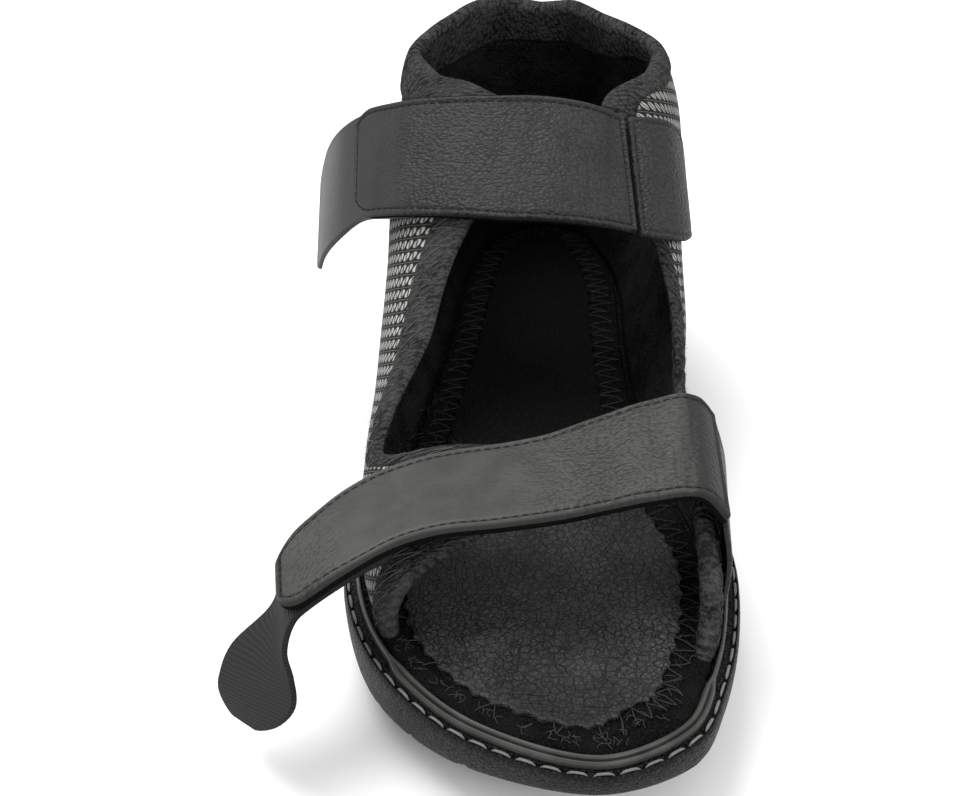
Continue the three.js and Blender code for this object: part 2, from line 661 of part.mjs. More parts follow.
// the forefoot tape leaves its strap one row before the strap's end
const forefootTape = [...beneath(forefootStrap, 7).slice(0, -1), ...forefootTail];
add('ankle_patch', band(anklePatch, leatherThickness, patchCorner, rootCorner, 12, 4), panelGrey, 0.55);
add('ankle_strap', band(ankleStrap, strapThickness, rootCorner, strapCorner, 24, 4), leatherGrey, 0.55);
add('ankle_tape', band(ankleTape, tapeThickness, tapeRootCorner, ankleTapeCorner, 20, 4), tapeGrey, 0.7);
add('forefoot_patch', band(forefootPatch, leatherThickness, patchCorner, rootCorner, 12, 4), panelGrey, 0.55);
add('forefoot_strap', band(forefootStrap, strapThickness, rootCorner, strapCorner, 30, 4), leatherGrey, 0.55);
add('forefoot_tape', band(forefootTape, tapeThickness, tapeRootCorner, forefootTapeCorner, 22, 4), tapeGrey, 0.7);

export default shoe;
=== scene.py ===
import math

import bpy
import numpy as np
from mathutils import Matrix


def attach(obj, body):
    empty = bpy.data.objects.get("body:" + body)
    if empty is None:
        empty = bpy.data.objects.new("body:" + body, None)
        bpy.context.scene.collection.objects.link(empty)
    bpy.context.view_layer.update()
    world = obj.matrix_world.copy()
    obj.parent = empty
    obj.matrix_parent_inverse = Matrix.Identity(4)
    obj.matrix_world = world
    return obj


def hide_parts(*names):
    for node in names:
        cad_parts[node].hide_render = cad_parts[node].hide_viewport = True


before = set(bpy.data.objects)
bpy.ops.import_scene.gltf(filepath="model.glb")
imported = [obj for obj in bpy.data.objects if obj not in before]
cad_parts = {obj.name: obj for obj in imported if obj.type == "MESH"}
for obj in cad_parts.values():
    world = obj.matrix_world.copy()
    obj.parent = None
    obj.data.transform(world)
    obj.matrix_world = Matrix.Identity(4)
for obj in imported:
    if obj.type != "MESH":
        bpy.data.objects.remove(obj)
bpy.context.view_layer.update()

rng = np.random.default_rng(7)

# Sizes of the shoe in millimetres, the same as the solids'
shoe = {
    "length": 275.0, "ball": 108.0, "soleTop": 27.0, "collar": 122.0, "spring": 19.0,
    "bevel": 4.0, "arch": 1.6, "seat": 0.3, "wall": 3.0, "padding": 5.4, "wallInset": 8.0,
    "insole": 1.6, "cover": 1.2, "margin": 8.5, "welt": 2.6, "leather": 1.3,
    "strap": 3.0, "tape": 1.3, "heelTurn": 0.15, "turnCentre": 0.19, "heelTip": 0.03, "toeTip": 0.085,
}
heelY = shoe["length"] / 2
wallBase = shoe["soleTop"] + shoe["seat"]
wallRise = shoe["collar"] - wallBase


# Columns by name from rows of numbers
def table(names, text):
    rows = np.array([[float(v) for v in line.split()] for line in text.strip().splitlines()])
    return {name: rows[:, k] for k, name in enumerate(names.split())}


# Half widths of the sole by length share from the heel, as shares of the ball's width
soleTable = table("s medial lateral", """
0.03 0.215 0.165
0.1 0.3 0.27
0.2 0.345 0.325
0.35 0.34 0.375
0.5 0.355 0.44
0.62 0.41 0.479
0.72 0.457 0.518
0.82 0.435 0.473
0.9 0.38 0.362
0.96 0.303 0.2
""")
# Ribs of the upper by station w, lateral below 0: reaches as shares of ball width, heights of the collar's
ribTable = table("w out low in high lean top", """
-0.92 0 0.06 0.05 0.15 0.3 0.18
-0.86 0.01 0.09 0.05 0.22 0.38 0.24
-0.78 0.03 0.12 0.03 0.3 0.44 0.31
-0.7 0.06 0.16 0 0.36 0.45 0.37
-0.62 0.125 0.2 -0.03 0.44 0.47 0.44
-0.54 0.15 0.25 -0.04 0.54 0.5 0.53
-0.46 0.162 0.3 -0.1 0.68 0.41 0.63
-0.4 0.162 0.34 -0.16 0.81 0.35 0.73
-0.34 0.16 0.36 -0.215 0.96 0.27 0.87
-0.28 0.14 0.36 -0.23 0.98 0.155 0.95
-0.22 0.12 0.34 -0.17 0.82 -0.065 0.985
-0.15 0.09 0.33 -0.07 0.68 0.01 1.01
-0.1 0.07 0.33 0 0.68 0.085 1.015
-0.05 0.06 0.33 0.06 0.7 0.185 1.005
0 0.05 0.33 0.08 0.7 0.255 1
0.05 0.06 0.33 0.06 0.7 0.215 1
0.1 0.07 0.33 0 0.68 0.14 1.005
0.15 0.09 0.33 -0.07 0.68 0.08 1
0.22 0.12 0.34 -0.15 0.82 -0.045 0.975
0.28 0.14 0.36 -0.2 0.93 0.01 0.95
0.34 0.14 0.36 -0.2 0.85 0.11 0.88
0.4 0.155 0.34 -0.166 0.61 0.077 0.68
0.46 0.165 0.25 -0.12 0.44 0.02 0.46
0.54 0.12 0.19 -0.04 0.26 0.01 0.36
0.62 0.075 0.18 -0.03 0.27 0.025 0.38
0.7 0.01 0.13 0.01 0.28 0.04 0.41
0.78 0.01 0.12 0.02 0.26 0.055 0.37
0.86 0.01 0.09 0 0.19 0.04 0.3
0.92 0.01 0.06 0.01 0.12 0.04 0.22
""")
# Free edge from the medial toe round the heel to the lateral toe: stations, reach and the band's share
edgeTable = table("foot w reach band", """
0.83 0.885 0.04 0.55
0.822 0.865 0.36 0.5
0.8 0.835 0.68 0.42
0.765 0.785 0.87 0.36
0.72 0.725 0.9 0.36
0.68 0.68 0.82 0.4
0.64 0.64 0.6 0.5
0.6 0.6 0.46 0.56
0.555 0.555 0.45 0.54
0.51 0.505 0.57 0.44
0.46 0.45 0.76 0.3
0.41 0.4 0.88 0.24
0.365 0.36 0.97 0.18
0.33 0.325 0.99 0.17
0.285 0.285 0.93 0.17
0.23 0.23 0.97 0.17
0.17 0.17 1 0.17
0.1 0.1 1 0.16
0 0 1 0.15
-0.1 -0.1 1 0.16
-0.17 -0.17 0.99 0.17
-0.225 -0.225 0.93 0.18
-0.275 -0.275 0.85 0.19
-0.315 -0.31 0.92 0.2
-0.35 -0.345 0.985 0.2
-0.39 -0.385 0.93 0.2
-0.44 -0.435 0.82 0.22
-0.5 -0.5 0.7 0.26
-0.56 -0.565 0.62 0.3
-0.61 -0.62 0.52 0.4
-0.645 -0.655 0.48 0.44
-0.672 -0.682 0.62 0.36
-0.695 -0.697 0.83 0.3
-0.715 -0.715 0.95 0.3
-0.74 -0.748 0.97 0.32
-0.765 -0.782 0.92 0.36
-0.785 -0.806 0.8 0.42
-0.797 -0.823 0.6 0.5
-0.803 -0.838 0.34 0.55
-0.806 -0.85 0.04 0.6
""")
# Half width of the heel panel by its reach up the wall
panelTable = table("reach half", """
0.05 0.128
0.2 0.112
0.4 0.098
0.6 0.094
0.82 0.1
""")
# Long edges of the straps in millimetres: x, y and z of the high and the low edge
bandColumns = "hx hy hz lx ly lz"
anklePatchTable = table(bandColumns, """
43 50 97 44.3 28 74
41.4 48 102 43.7 23.5 77.5
37.2 43.5 107.3 39.7 18.5 80.5
31 40 110 33.3 15.6 83
24.8 38.5 110.8 27.8 15 84.3
""")
ankleStrapTable = table(bandColumns, """
23.7 38 111 26.8 15 84.8
13 36 116 15 11 89.5
0 35.5 118.5 1 9.5 92
-12 36 118.5 -12 10 92.5
-24 38 117.5 -24 12 92.5
-36.5 42 115 -37 17 90.5
-46 49 110.5 -47 23.5 87
-55 57 105 -55.5 31.5 82
""")
ankleTailTable = table(bandColumns, """
-60.4 63 97 -61.3 36.5 73
-66 71 87 -67 42 64
-69.7 76 75 -70.2 48 54
""")
forefootPatchTable = table(bandColumns, """
44.6 -57.6 36 41.8 -87.5 31.5
45.6 -57 44 42.6 -88 40
44.4 -55.5 57 42.6 -88 49
41.6 -54 67 41 -87 59
""")
forefootStrapTable = table(bandColumns, """
41 -53.8 68 41.4 -86.9 60.2
35.2 -52 73.5 34.8 -85.5 66.8
24.3 -53 72 24 -86 66.5
11.2 -55 68.5 12 -87.5 65
-1.2 -58 65.5 0.8 -89 63.5
-15.6 -60 64 -13.5 -91 63
-29.6 -62 63 -28 -92.5 62.5
-41.7 -65.5 61.5 -39.5 -95 60.5
-52 -71 58.8 -49.5 -99 57
-62 -78.5 54.5 -59.3 -104 53
-69 -84.5 50.5 -66 -108 50.5
""")
forefootTailTable = table(bandColumns, """
-66.8 -83.5 47.2 -62.8 -107.3 48.2
-70.4 -88.5 37.6 -64.6 -111.5 43
-80.5 -94.5 30.2 -62.8 -116.5 39.1
-84.5 -97 21.4 -62.8 -118.5 32
-86 -97 12 -68 -118.5 20.3
""")


# Cubic Hermite value of a column at places along its key, slopes from the two neighbours
def column(rows, key, name, at):
    keys, values = rows[key], rows[name]
    at = np.clip(at, keys[0], keys[-1])
    i = np.clip(np.searchsorted(keys, at, side="left") - 1, 0, len(keys) - 2)
    span = keys[i + 1] - keys[i]
    here = (values[i + 1] - values[i]) / span
    lo, hi = np.maximum(i - 1, 0), np.minimum(i + 2, len(keys) - 1)
    before = np.where(i > 0, (values[i + 1] - values[lo]) / (keys[i + 1] - keys[lo]), here)
    after = np.where(i + 2 < len(keys), (values[hi] - values[i]) / (keys[hi] - keys[i]), here)
    t = (at - keys[i]) / span
    h = (1 - t) ** 2
    return (values[i] * (1 + 2 * t) * h + before * span * t * h
            + values[i + 1] * t * t * (3 - 2 * t) - after * span * t * t * (1 - t))


# The same rows with their numbers from 0 as one more column
def numbered(rows):
    return {**rows, "index": np.arange(len(next(iter(rows.values()))), dtype=float)}


# Vectors at unit length
def unit(v):
    return v / np.maximum(np.linalg.norm(v, axis=-1, keepdims=True), 1e-9)


# Length run along a line of points, from 0 at its first
def runAlong(points):
    return np.concatenate([[0], np.cumsum(np.linalg.norm(np.diff(points, axis=0), axis=1))])


# S-shaped step from 0 to 1
def smooth(t):
    c = np.clip(t, 0, 1)
    return c * c * (3 - 2 * c)


# Closed centripetal spline through the sole's widths, as a dense line with shares of its length
def soleLine():
    ball, y = shoe["ball"], heelY - soleTable["s"] * shoe["length"]
    medial = np.stack([soleTable["medial"] * ball, y], 1)
    lateral = np.stack([-soleTable["lateral"] * ball, y], 1)
    heel, toe = [[shoe["heelTip"] * ball, heelY]], [[shoe["toeTip"] * ball, -heelY]]
    b = np.vstack([heel, medial, toe, lateral[::-1]])
    a, c, d = np.roll(b, 1, 0), np.roll(b, -1, 0), np.roll(b, -2, 0)
    da, db, dc = (np.sqrt(np.linalg.norm(q - r, axis=1))[:, None] for q, r in ((a, b), (b, c), (c, d)))
    leave = ((b - a) / da - (c - a) / (da + db) + (c - b) / db) * db
    arrive = ((c - b) / db - (d - b) / (db + dc) + (d - c) / dc) * db
    t = np.linspace(0, 1, 120, endpoint=False)[None, :, None]
    line = (b[:, None] * (2 * t ** 3 - 3 * t * t + 1) + leave[:, None] * (t ** 3 - 2 * t * t + t)
            + c[:, None] * (3 * t * t - 2 * t ** 3) + arrive[:, None] * (t ** 3 - t * t))
    line = line.reshape(-1, 2)
    line = np.vstack([line, line[:1]])
    run = runAlong(line)
    return line, run / run[-1], run[-1]


solePoints, soleShares, soleGirth = soleLine()


# Point at a share of the way round the sole, moved inward; clockwise from the heel seen from above
def outlineAt(share, inset=0.0):
    u, step = np.mod(share, 1.0), 1.5e-3
    x, y = (np.interp(u, soleShares, solePoints[:, k]) for k in (0, 1))
    dx, dy = (np.interp(np.mod(u + step, 1), soleShares, solePoints[:, k])
              - np.interp(np.mod(u - step, 1), soleShares, solePoints[:, k]) for k in (0, 1))
    n = np.hypot(dx, dy)
    return x + dy / n * inset, y - dx / n * inset


# The same points at a height
def ringAt(share, inset, z):
    x, y = outlineAt(share, inset)
    return np.stack([x, y, z + 0 * x], -1)


# Places on the sole's underside, as shares of its length from the heel
underside = {"springFrom": 0.64, "springPower": 1.7, "bevelTo": 0.07, "archFrom": 0.26, "archTo": 0.42,
         "archEase": 0.06}


# Height of the underside: toe spring, heel bevel and a low arch
def treadHeight(y):
    s = (heelY - y) / shoe["length"]
    spring = np.maximum(0, (s - underside["springFrom"]) / (1 - underside["springFrom"]))
    bevel = np.maximum(0, (underside["bevelTo"] - s) / underside["bevelTo"])
    arch = (smooth((s - underside["archFrom"]) / underside["archEase"])
            * smooth((underside["archTo"] - s) / underside["archEase"]))
    return (shoe["spring"] * spring ** underside["springPower"] + shoe["bevel"] * bevel ** 2
            + shoe["arch"] * arch)


halfShares = np.linspace(0, 0.5, 721)
lengthBySide = {side: np.maximum.accumulate((heelY - outlineAt(side * halfShares)[1]) / shoe["length"])
                for side in (1, -1)}


# Share of the way round the sole for a station w: length share on the sides, arc round the heel
def shareAt(w):
    s, turn = np.abs(w), shoe["heelTurn"]
    sides = {}
    for side, lengths in lengthBySide.items():
        onSide = np.interp(np.maximum(s, turn), lengths, halfShares)
        start = np.interp(turn, lengths, halfShares)
        sides[side] = side * np.where(s >= turn, onSide, start * s / turn)
    return np.where(w >= 0, sides[1], sides[-1])


# Point of the upper's middle surface on rib w at reach t: the rib is a Bezier from the sole up
def upperPoint(w, t):
    fx, fy = outlineAt(shareAt(w), shoe["wallInset"])
    ix, iy = -fx, np.minimum(0, heelY - shoe["turnCentre"] * shoe["length"] - fy)
    n = np.hypot(ix, iy)
    rib = {k: column(ribTable, "w", k, w) for k in ("out", "low", "in", "high", "lean", "top")}
    b, c, d = 3 * (1 - t) ** 2 * t, 3 * (1 - t) * t * t, t ** 3
    along = (-b * rib["out"] + c * rib["in"] + d * rib["lean"]) * shoe["ball"]
    up = (b * rib["low"] + c * rib["high"] + d * rib["top"]) * wallRise
    return np.stack([fx + ix / n * along, fy + iy / n * along, wallBase + up], -1)


edgeRows = numbered(edgeTable)
edgeLast = edgeRows["index"][-1]


# Station and reach at a share of the line u that runs from the sole to the free edge
def edgeStation(u, share):
    at = u * edgeLast
    foot, w, reach = (column(edgeRows, "index", k, at) for k in ("foot", "w", "reach"))
    return foot + (w - foot) * share, reach * share


def edgeLine(u, share):
    return upperPoint(*edgeStation(u, share))


# Widths of the binding in millimetres, and where along the edge, from the heel, it is at full width
edging = {"side": 5.0, "collar": 6.5, "shortest": 12.0, "collarHalf": 0.2,
          "toeFrom": 0.285, "toeEase": 0.05, "heelTo": 0.1, "heelEase": 0.035}
bandAt = np.linspace(0, 1, 400)
fromHeel = np.abs(bandAt - 0.5)
lineLength = np.linalg.norm(edgeLine(bandAt, np.ones(400)) - edgeLine(bandAt, np.zeros(400)), axis=-1)
collarRise = np.exp(-(fromHeel / edging["collarHalf"]) ** 4)
fullBand = (smooth((fromHeel - edging["toeFrom"]) / edging["toeEase"])
            + smooth((edging["heelTo"] - fromHeel) / edging["heelEase"]))
fullShares = column(edgeRows, "index", "band", bandAt * edgeLast)
sideWidths = edging["side"] + edging["collar"] * collarRise
sideShares = np.minimum(sideWidths / np.maximum(lineLength, edging["shortest"]), fullShares)
bandShares = sideShares * (1 - fullBand) + fullShares * fullBand


# Share of the line that the knit binding covers: its width over the line's length
def bandShare(u):
    return np.interp(u, bandAt, bandShares)


# Unit normal of a surface place(u, v), from central differences
def normalAt(place, u, v, step=1e-3):
    du = place(u + step, v) - place(u - step, v)
    dv = place(u, v + step) - place(u, v - step)
    return unit(np.cross(du, dv))


# Surface of a strap between its two long edges by length s and crossing v, ends cut round
def bandSurface(rows, startRadius, endRadius, steps=241, fullest=0.96):
    rows = numbered(rows)
    at = np.linspace(0, rows["index"][-1], steps)

    def edge(where, side):
        return np.stack([column(rows, "index", side + k, where) for k in "xyz"], -1)

    run = runAlong((edge(at, "h") + edge(at, "l")) / 2)
    total = run[-1]

    def cut(distance, radius):
        e = np.clip(distance, 0, radius)
        return radius - np.sqrt(np.maximum(0, radius ** 2 - (radius - e) ** 2))

    def place(s, v):
        distance = s * total
        where = np.interp(distance, run, at)
        high, low = edge(where, "h"), edge(where, "l")
        width = np.linalg.norm(high - low, axis=-1)
        trim = np.maximum(cut(distance, startRadius), cut(total - distance, endRadius)) * fullest
        share = (trim + v * (width - 2 * trim)) / width
        return high + (low - high) * share[..., None]

    place.total = total
    return place


# Rows of a tape: the strap's rows from the first on, moved in by their thickness, then its free end
def tapeRows(rows, first, tail, left=0):
    drop = shoe["strap"] / 2 + shoe["seat"] + shoe["tape"] / 2
    h, l = (np.stack([rows[side + k] for k in "xyz"], 1) for side in "hl")
    at = np.arange(first, len(h))
    along = h[np.minimum(at + 1, len(h) - 1)] - h[at - 1]
    inward = unit(np.cross(l[first:] - h[first:], along)) * drop
    head = np.hstack([h[first:] + inward, l[first:] + inward])
    every = np.vstack([head[:len(head) - left], np.stack([tail[k] for k in bandColumns.split()], 1)])
    return dict(zip(bandColumns.split(), every.T))


# One mesh from points in millimetres and four-cornered faces, riding on the one body
def makeObject(name, verts, faces, material, layers=None):
    mesh = bpy.data.meshes.new(name)
    faces = np.asarray(faces, dtype=np.int32)
    verts = np.asarray(verts, dtype=float).reshape(-1, 3) * 0.001
    mesh.vertices.add(len(verts))
    mesh.vertices.foreach_set("co", verts.ravel())
    mesh.loops.add(faces.size)
    mesh.loops.foreach_set("vertex_index", faces.ravel())
    mesh.polygons.add(len(faces))
    mesh.polygons.foreach_set("loop_start", np.arange(len(faces), dtype=np.int32) * faces.shape[1])
    mesh.update(calc_edges=True)
    mesh.polygons.foreach_set("use_smooth", np.ones(len(faces), dtype=bool))
    for key, values in (layers or {}).items():
        layer = mesh.uv_layers.new(name=key)
        values = np.asarray(values, dtype=float).reshape(-1, 2)
        layer.data.foreach_set("uv", values[faces.ravel()].ravel())
    mesh.materials.append(material)
    mesh.validate()
    made = bpy.data.objects.new(name, mesh)
    bpy.context.scene.collection.objects.link(made)
    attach(made, "root")
    return made


# Faces of a grid of rows by columns, closed either way, repeated for several equal grids
def gridFaces(nu, nv, closeU=False, closeV=False, count=1, start=0):
    i = np.arange(nu if closeU else nu - 1)[:, None]
    j = np.arange(nv if closeV else nv - 1)[None]
    k, m = (i + 1) % nu, (j + 1) % nv
    one = np.stack([i * nv + j, k * nv + j, k * nv + m, i * nv + m], -1).reshape(-1, 4)
    return (one[None] + (np.arange(count) * nu * nv)[:, None, None]).reshape(-1, 4) + start


# Skin on both sides of a middle surface: over the outer face, back under the inner, ends closed
def skinMesh(name, place, us, vs, outer, inner, material, layers=None):
    u, v = np.meshgrid(us, vs, indexing="ij")
    p, n = place(u, v), normalAt(place, u, v)
    top = p + n * outer(u, v)[..., None]
    back = p + n * inner(u, v)[..., None]
    loop = np.concatenate([top, back[:, ::-1]], 1)
    nu, nv = u.shape
    j = np.arange(nv - 1)
    cap = np.stack([j, j + 1, 2 * nv - 2 - j, 2 * nv - 1 - j], -1)
    faces = np.vstack([gridFaces(nu, 2 * nv, closeV=True), cap, cap[:, ::-1] + (nu - 1) * 2 * nv])
    both = {}
    for key, of in (layers or {}).items():
        value = of(u, v)
        both[key] = np.concatenate([value, value[:, ::-1]], 1)
    return makeObject(name, loop, faces, material, both)


# One height all over a surface
def level(value):
    return lambda u, v: np.full(u.shape, value)


# Places from 0 to 1 that crowd toward both ends by a share
def crowded(count, much):
    t = np.linspace(0, 1, count)
    return t - np.sin(2 * np.pi * t) / (2 * np.pi) * much


# Round edge: full height beyond the radius, a quarter circle within it
def roundEdge(distance, radius):
    e = np.clip(distance / radius, 0, 1)
    return np.sqrt(np.maximum(0, 1 - (1 - e) ** 2))


# Bell of height 1 round a middle, flatter on top with a higher power
def bell(x, middle, half, power=2):
    return np.exp(-((x - middle) / half) ** power)


# Soft folds, given one by one: each has a middle, a direction, half length and width, and its depth
def folds(s, t, marks):
    total = np.zeros_like(s)
    for cs, ct, ds, dt, half, width, depth in marks:
        n = math.hypot(ds, dt)
        along = ((s - cs) * ds + (t - ct) * dt) / n
        across = (-(s - cs) * dt + (t - ct) * ds) / n
        total = total + depth * np.exp(-(across / width) ** 2) * np.exp(-(along / half) ** 4)
    return total


# Even steps along a line of points: place, direction and the other columns at each
def stepsAlong(points, pitch, offset, extras=(), reach=0.4):
    run = runAlong(points)
    at = np.arange(offset, run[-1], pitch)

    def read(values, where):
        return np.stack([np.interp(where, run, values[:, k]) for k in range(3)], -1)

    along = unit(read(points, np.minimum(at + reach, run[-1])) - read(points, np.maximum(at - reach, 0)))
    return [read(points, at), along] + [read(e, at) for e in extras]


# Tubes along rows of points, each ring spread by its row's two cross directions, in one mesh
def tubeMesh(name, middle, across, up, girth, sides, material):
    a = np.linspace(0, 2 * np.pi, sides, endpoint=False)[:, None]
    ring = middle[:, :, None] + (across[:, :, None] * np.cos(a) + up[:, :, None] * np.sin(a)) * girth
    return makeObject(name, ring, gridFaces(middle.shape[1], sides, closeV=True, count=len(middle)), material)


# Stitches: each a bowed six-sided tube between its two holes, thinner at its ends
def threadMesh(name, centre, along, up, length, radius, material, bow, flat=0.8, stations=6):
    t = np.linspace(-1, 1, stations)[:, None]
    length = np.broadcast_to(length, (len(centre),))[:, None, None]
    middle = centre[:, None] + along[:, None] * (t / 2 * length) + up[:, None] * (0.5 - t ** 4) * bow
    girth = radius * (1 - 0.45 * t ** 8)
    across, up = np.cross(along, up)[:, None], up[:, None] * flat
    return tubeMesh(name, middle, across, up, girth[:, None], 6, material)


# Strands that follow a surface: each a row of points with its up directions
def strandMesh(name, points, ups, radius, material, sides=5):
    across = unit(np.cross(unit(np.gradient(points, axis=1)), ups))
    return tubeMesh(name, points, across, ups, radius, sides, material)


# Loose fibres: each a tapering three-sided strand that leaves its root and curls
def fibreMesh(name, root, out, curl, length, width, material, stations=5):
    t = np.linspace(0, 1, stations)[:, None]
    middle = root[:, None] + (out[:, None] * t + curl[:, None] * t ** 2) * length[:, None, None]
    side = unit(np.cross(out, curl))
    girth = width / 2 * (1 - 0.6 * t)
    return tubeMesh(name, middle, side[:, None], np.cross(out, side)[:, None], girth[:, None], 3, material)


# A shader socket that takes part in plain arithmetic
class Term:
    def __init__(self, board, socket):
        self.board = board
        self.socket = socket

    def __add__(self, other):
        return self.board.math("ADD", self, other)

    def __sub__(self, other):
        return self.board.math("SUBTRACT", self, other)

    def __rsub__(self, other):
        return self.board.math("SUBTRACT", other, self)

    def __mul__(self, other):
        return self.board.math("MULTIPLY", self, other)

    def __truediv__(self, other):
        return self.board.math("DIVIDE", self, other)

    def __pow__(self, other):
        return self.board.math("POWER", self, other)

    def __abs__(self):
        return self.board.math("ABSOLUTE", self)

    __radd__ = __add__
    __rmul__ = __mul__


# One material's node tree with short calls for the nodes used here
class Board:
    def __init__(self, name, **fixed):
        self.material = bpy.data.materials.new(name)
        self.material.use_nodes = True
        self.tree = self.material.node_tree
        self.surface = next(n for n in self.tree.nodes if n.type == "BSDF_PRINCIPLED")
        for key, value in fixed.items():
            self.surface.inputs[key.replace("_", " ")].default_value = value
        self.at = self.scaled(self.node("TexCoord", 3), 1000.0)  # Object coordinates in millimetres

    def feed(self, socket, value):
        if isinstance(value, Term):
            self.tree.links.new(value.socket, socket)
        else:
            socket.default_value = value

    def node(self, kind, out=0, settings=None, inputs=None):
        made = self.tree.nodes.new("ShaderNode" + kind)
        for key, value in (settings or {}).items():
            setattr(made, key, value)
        for key, value in (inputs or {}).items():
            self.feed(made.inputs[key], value)
        return Term(self, made.outputs[out])

    def math(self, operation, *values):
        return self.node("Math", 0, {"operation": operation}, dict(enumerate(values)))

    def scaled(self, vector, scale):
        return self.node("VectorMath", 0, {"operation": "SCALE"}, {0: vector, "Scale": scale})

    def axis(self, k, vector=None):
        return self.node("SeparateXYZ", k, None, {0: vector or self.at})

    # uv of a layer in millimetres, as two numbers
    def layer(self, name):
        uv = self.node("UVMap", 0, {"uv_map": name})
        return self.axis(0, uv), self.axis(1, uv)

    def point(self, x, y):
        return self.node("CombineXYZ", 0, None, {0: x, 1: y})

    def noise(self, size, detail=3.0, rough=0.55):
        return self.node("TexNoise", 0, None, {
            "Vector": self.at, "Scale": 1 / size, "Detail": detail, "Roughness": rough})

    def cells(self, size, feature, at=None):
        return self.node("TexVoronoi", 0, {"feature": feature}, {"Vector": at or self.at, "Scale": 1 / size})

    # Flat cells of size 1 over two numbers
    def flatCells(self, feature, at, **more):
        settings = {"feature": feature, "voronoi_dimensions": "2D"}
        return self.node("TexVoronoi", 0, settings, {"Vector": at, "Scale": 1.0, **more})

    # 0 below low, 1 above high, smooth between
    def ramp(self, value, low, high):
        return self.node("MapRange", 0, {"interpolation_type": "SMOOTHSTEP"}, {0: value, 1: low, 2: high})

    def mix(self, share, a, b):
        return self.node("Mix", 2, {"data_type": "RGBA"}, {0: share, 6: colour(a), 7: colour(b)})

    # relief is the depth in millimetres that a height of 1 stands for
    def finish(self, base, rough, height=None, relief=1.0, strength=1.0):
        self.feed(self.surface.inputs["Base Color"], colour(base))
        self.feed(self.surface.inputs["Roughness"], rough)
        if height is not None:
            bump = {"Height": height, "Distance": relief * 0.001, "Strength": strength}
            self.feed(self.surface.inputs["Normal"], self.node("Bump", 0, None, bump))
        return self.material


# A node's result, one number or three as a colour
def colour(value):
    if isinstance(value, Term):
        return value
    if isinstance(value, (int, float)):
        value = (value, value, value)
    return (*value, 1.0)


# Linear value of a grey given as it looks on a screen, 0 to 255, with an optional tint
def grey(shade, tint=(1.0, 1.0, 1.0)):
    c = shade / 255
    linear = ((c + 0.055) / 1.055) ** 2.4 if c > 0.04045 else c / 12.92
    return tuple(linear * k for k in tint)


# Materials. Sizes and reliefs are in millimetres, and shades are greys as they look on a screen.
rubber = {"cell": 1.4, "lump": 3.2, "grit": 0.35, "wear": 18, "relief": 1.3,
          "crackShade": 3, "shade": 15, "wornShade": 28}


def rubberSide():
    b = Board("rubberSide", Specular_IOR_Level=0.18)
    crack = b.ramp(b.cells(rubber["cell"], "DISTANCE_TO_EDGE"), 0.02, 0.2)
    wear = b.ramp(b.noise(rubber["wear"]), 0.5, 0.75)
    height = crack * 0.9 + b.noise(rubber["lump"], 2) * 0.4 + b.noise(rubber["grit"], 2) * 0.25
    base = b.mix(crack, grey(rubber["crackShade"]), grey(rubber["shade"]))
    base = b.mix(wear * 0.3, base, grey(rubber["wornShade"]))
    return b.finish(base, 0.5 - wear * 0.08, height, rubber["relief"])


def weltRubber():
    b = Board("weltRubber", Specular_IOR_Level=0.4)
    fine = b.noise(0.6, 2)
    base = b.mix(b.ramp(b.noise(9), 0.35, 0.7), grey(40, (1, 1, 0.92)), grey(56, (1, 1, 0.9)))
    return b.finish(base, 0.36 + fine * 0.12, fine, 0.05, 0.6)


# The darkest grey and the heel span below paint the shadow that falls over the rear of the footbed
footbedGrain = {"drift": 2.4, "driftBy": 1.7, "crack": 2.2, "smallCrack": 1.1, "relief": 0.6,
                "shades": (52, 68), "medialShade": 90, "crackShade": 12, "toeShade": 30, "rearShadowShade": 2,
                "toe": (-128.0, -98.0), "heel": (-80.0, 0.0), "medial": (8.0, 42.0), "coat": 0.22}


# Cracked leather, paler on the medial side, darker at the toe, with painted shadow from the straps and upper
# toward the heel
def footbedLeather():
    g = footbedGrain
    b = Board("footbedLeather", Specular_IOR_Level=0.14, Coat_Roughness=0.42)
    drift = b.node("TexNoise", 1, None, {"Vector": b.at, "Scale": 1 / g["drift"]})
    shifted = b.node("VectorMath", 0, {"operation": "ADD"}, {0: b.at, 1: b.scaled(drift, g["driftBy"])})
    crack = b.ramp(b.cells(g["crack"], "DISTANCE_TO_EDGE", shifted), 0.0, 0.13)
    smallCrack = b.ramp(b.cells(g["smallCrack"], "DISTANCE_TO_EDGE", shifted), 0.0, 0.22)
    height = crack * 0.7 + smallCrack * 0.5 + b.noise(0.3, 2) * 0.12 + b.noise(4.5, 2) * 0.6
    # Painted shadow of the straps and upper: toward the heel the leather is painted nearly black, with less
    # coat and more roughness
    rearShadow = b.ramp(b.axis(1), *g["heel"])
    medial = b.ramp(b.axis(0), *g["medial"]) * (1 - rearShadow)
    worn = b.ramp(b.noise(9), 0.4, 0.7) * 0.4
    base = b.mix(b.ramp(b.noise(22), 0.4, 0.7), *(grey(shade) for shade in g["shades"]))
    base = b.mix(medial * 0.6, base, grey(g["medialShade"]))
    base = b.mix(1 - (1 - crack * 0.6 - smallCrack * 0.4) * (1 - worn), grey(g["crackShade"]), base)
    base = b.mix((1 - b.ramp(b.axis(1), *g["toe"])) * 0.7, base, grey(g["toeShade"]))
    # Painted shadow toward the heel
    base = b.mix(rearShadow * 0.93, base, grey(g["rearShadowShade"]))
    b.feed(b.surface.inputs["Coat Weight"], (1 - rearShadow) * g["coat"])
    return b.finish(base, 0.5 + rearShadow * 0.45, height, g["relief"])


knit = {"pitch": 2.3, "rise": 4.5, "wobble": 1.1, "halfWidth": 0.98, "halfHeight": 1.7, "relief": 0.7,
        "tint": (1, 0.98, 0.93), "shades": (148, 180), "fineShade": 120, "gapShade": 16, "bridgeShade": 96}


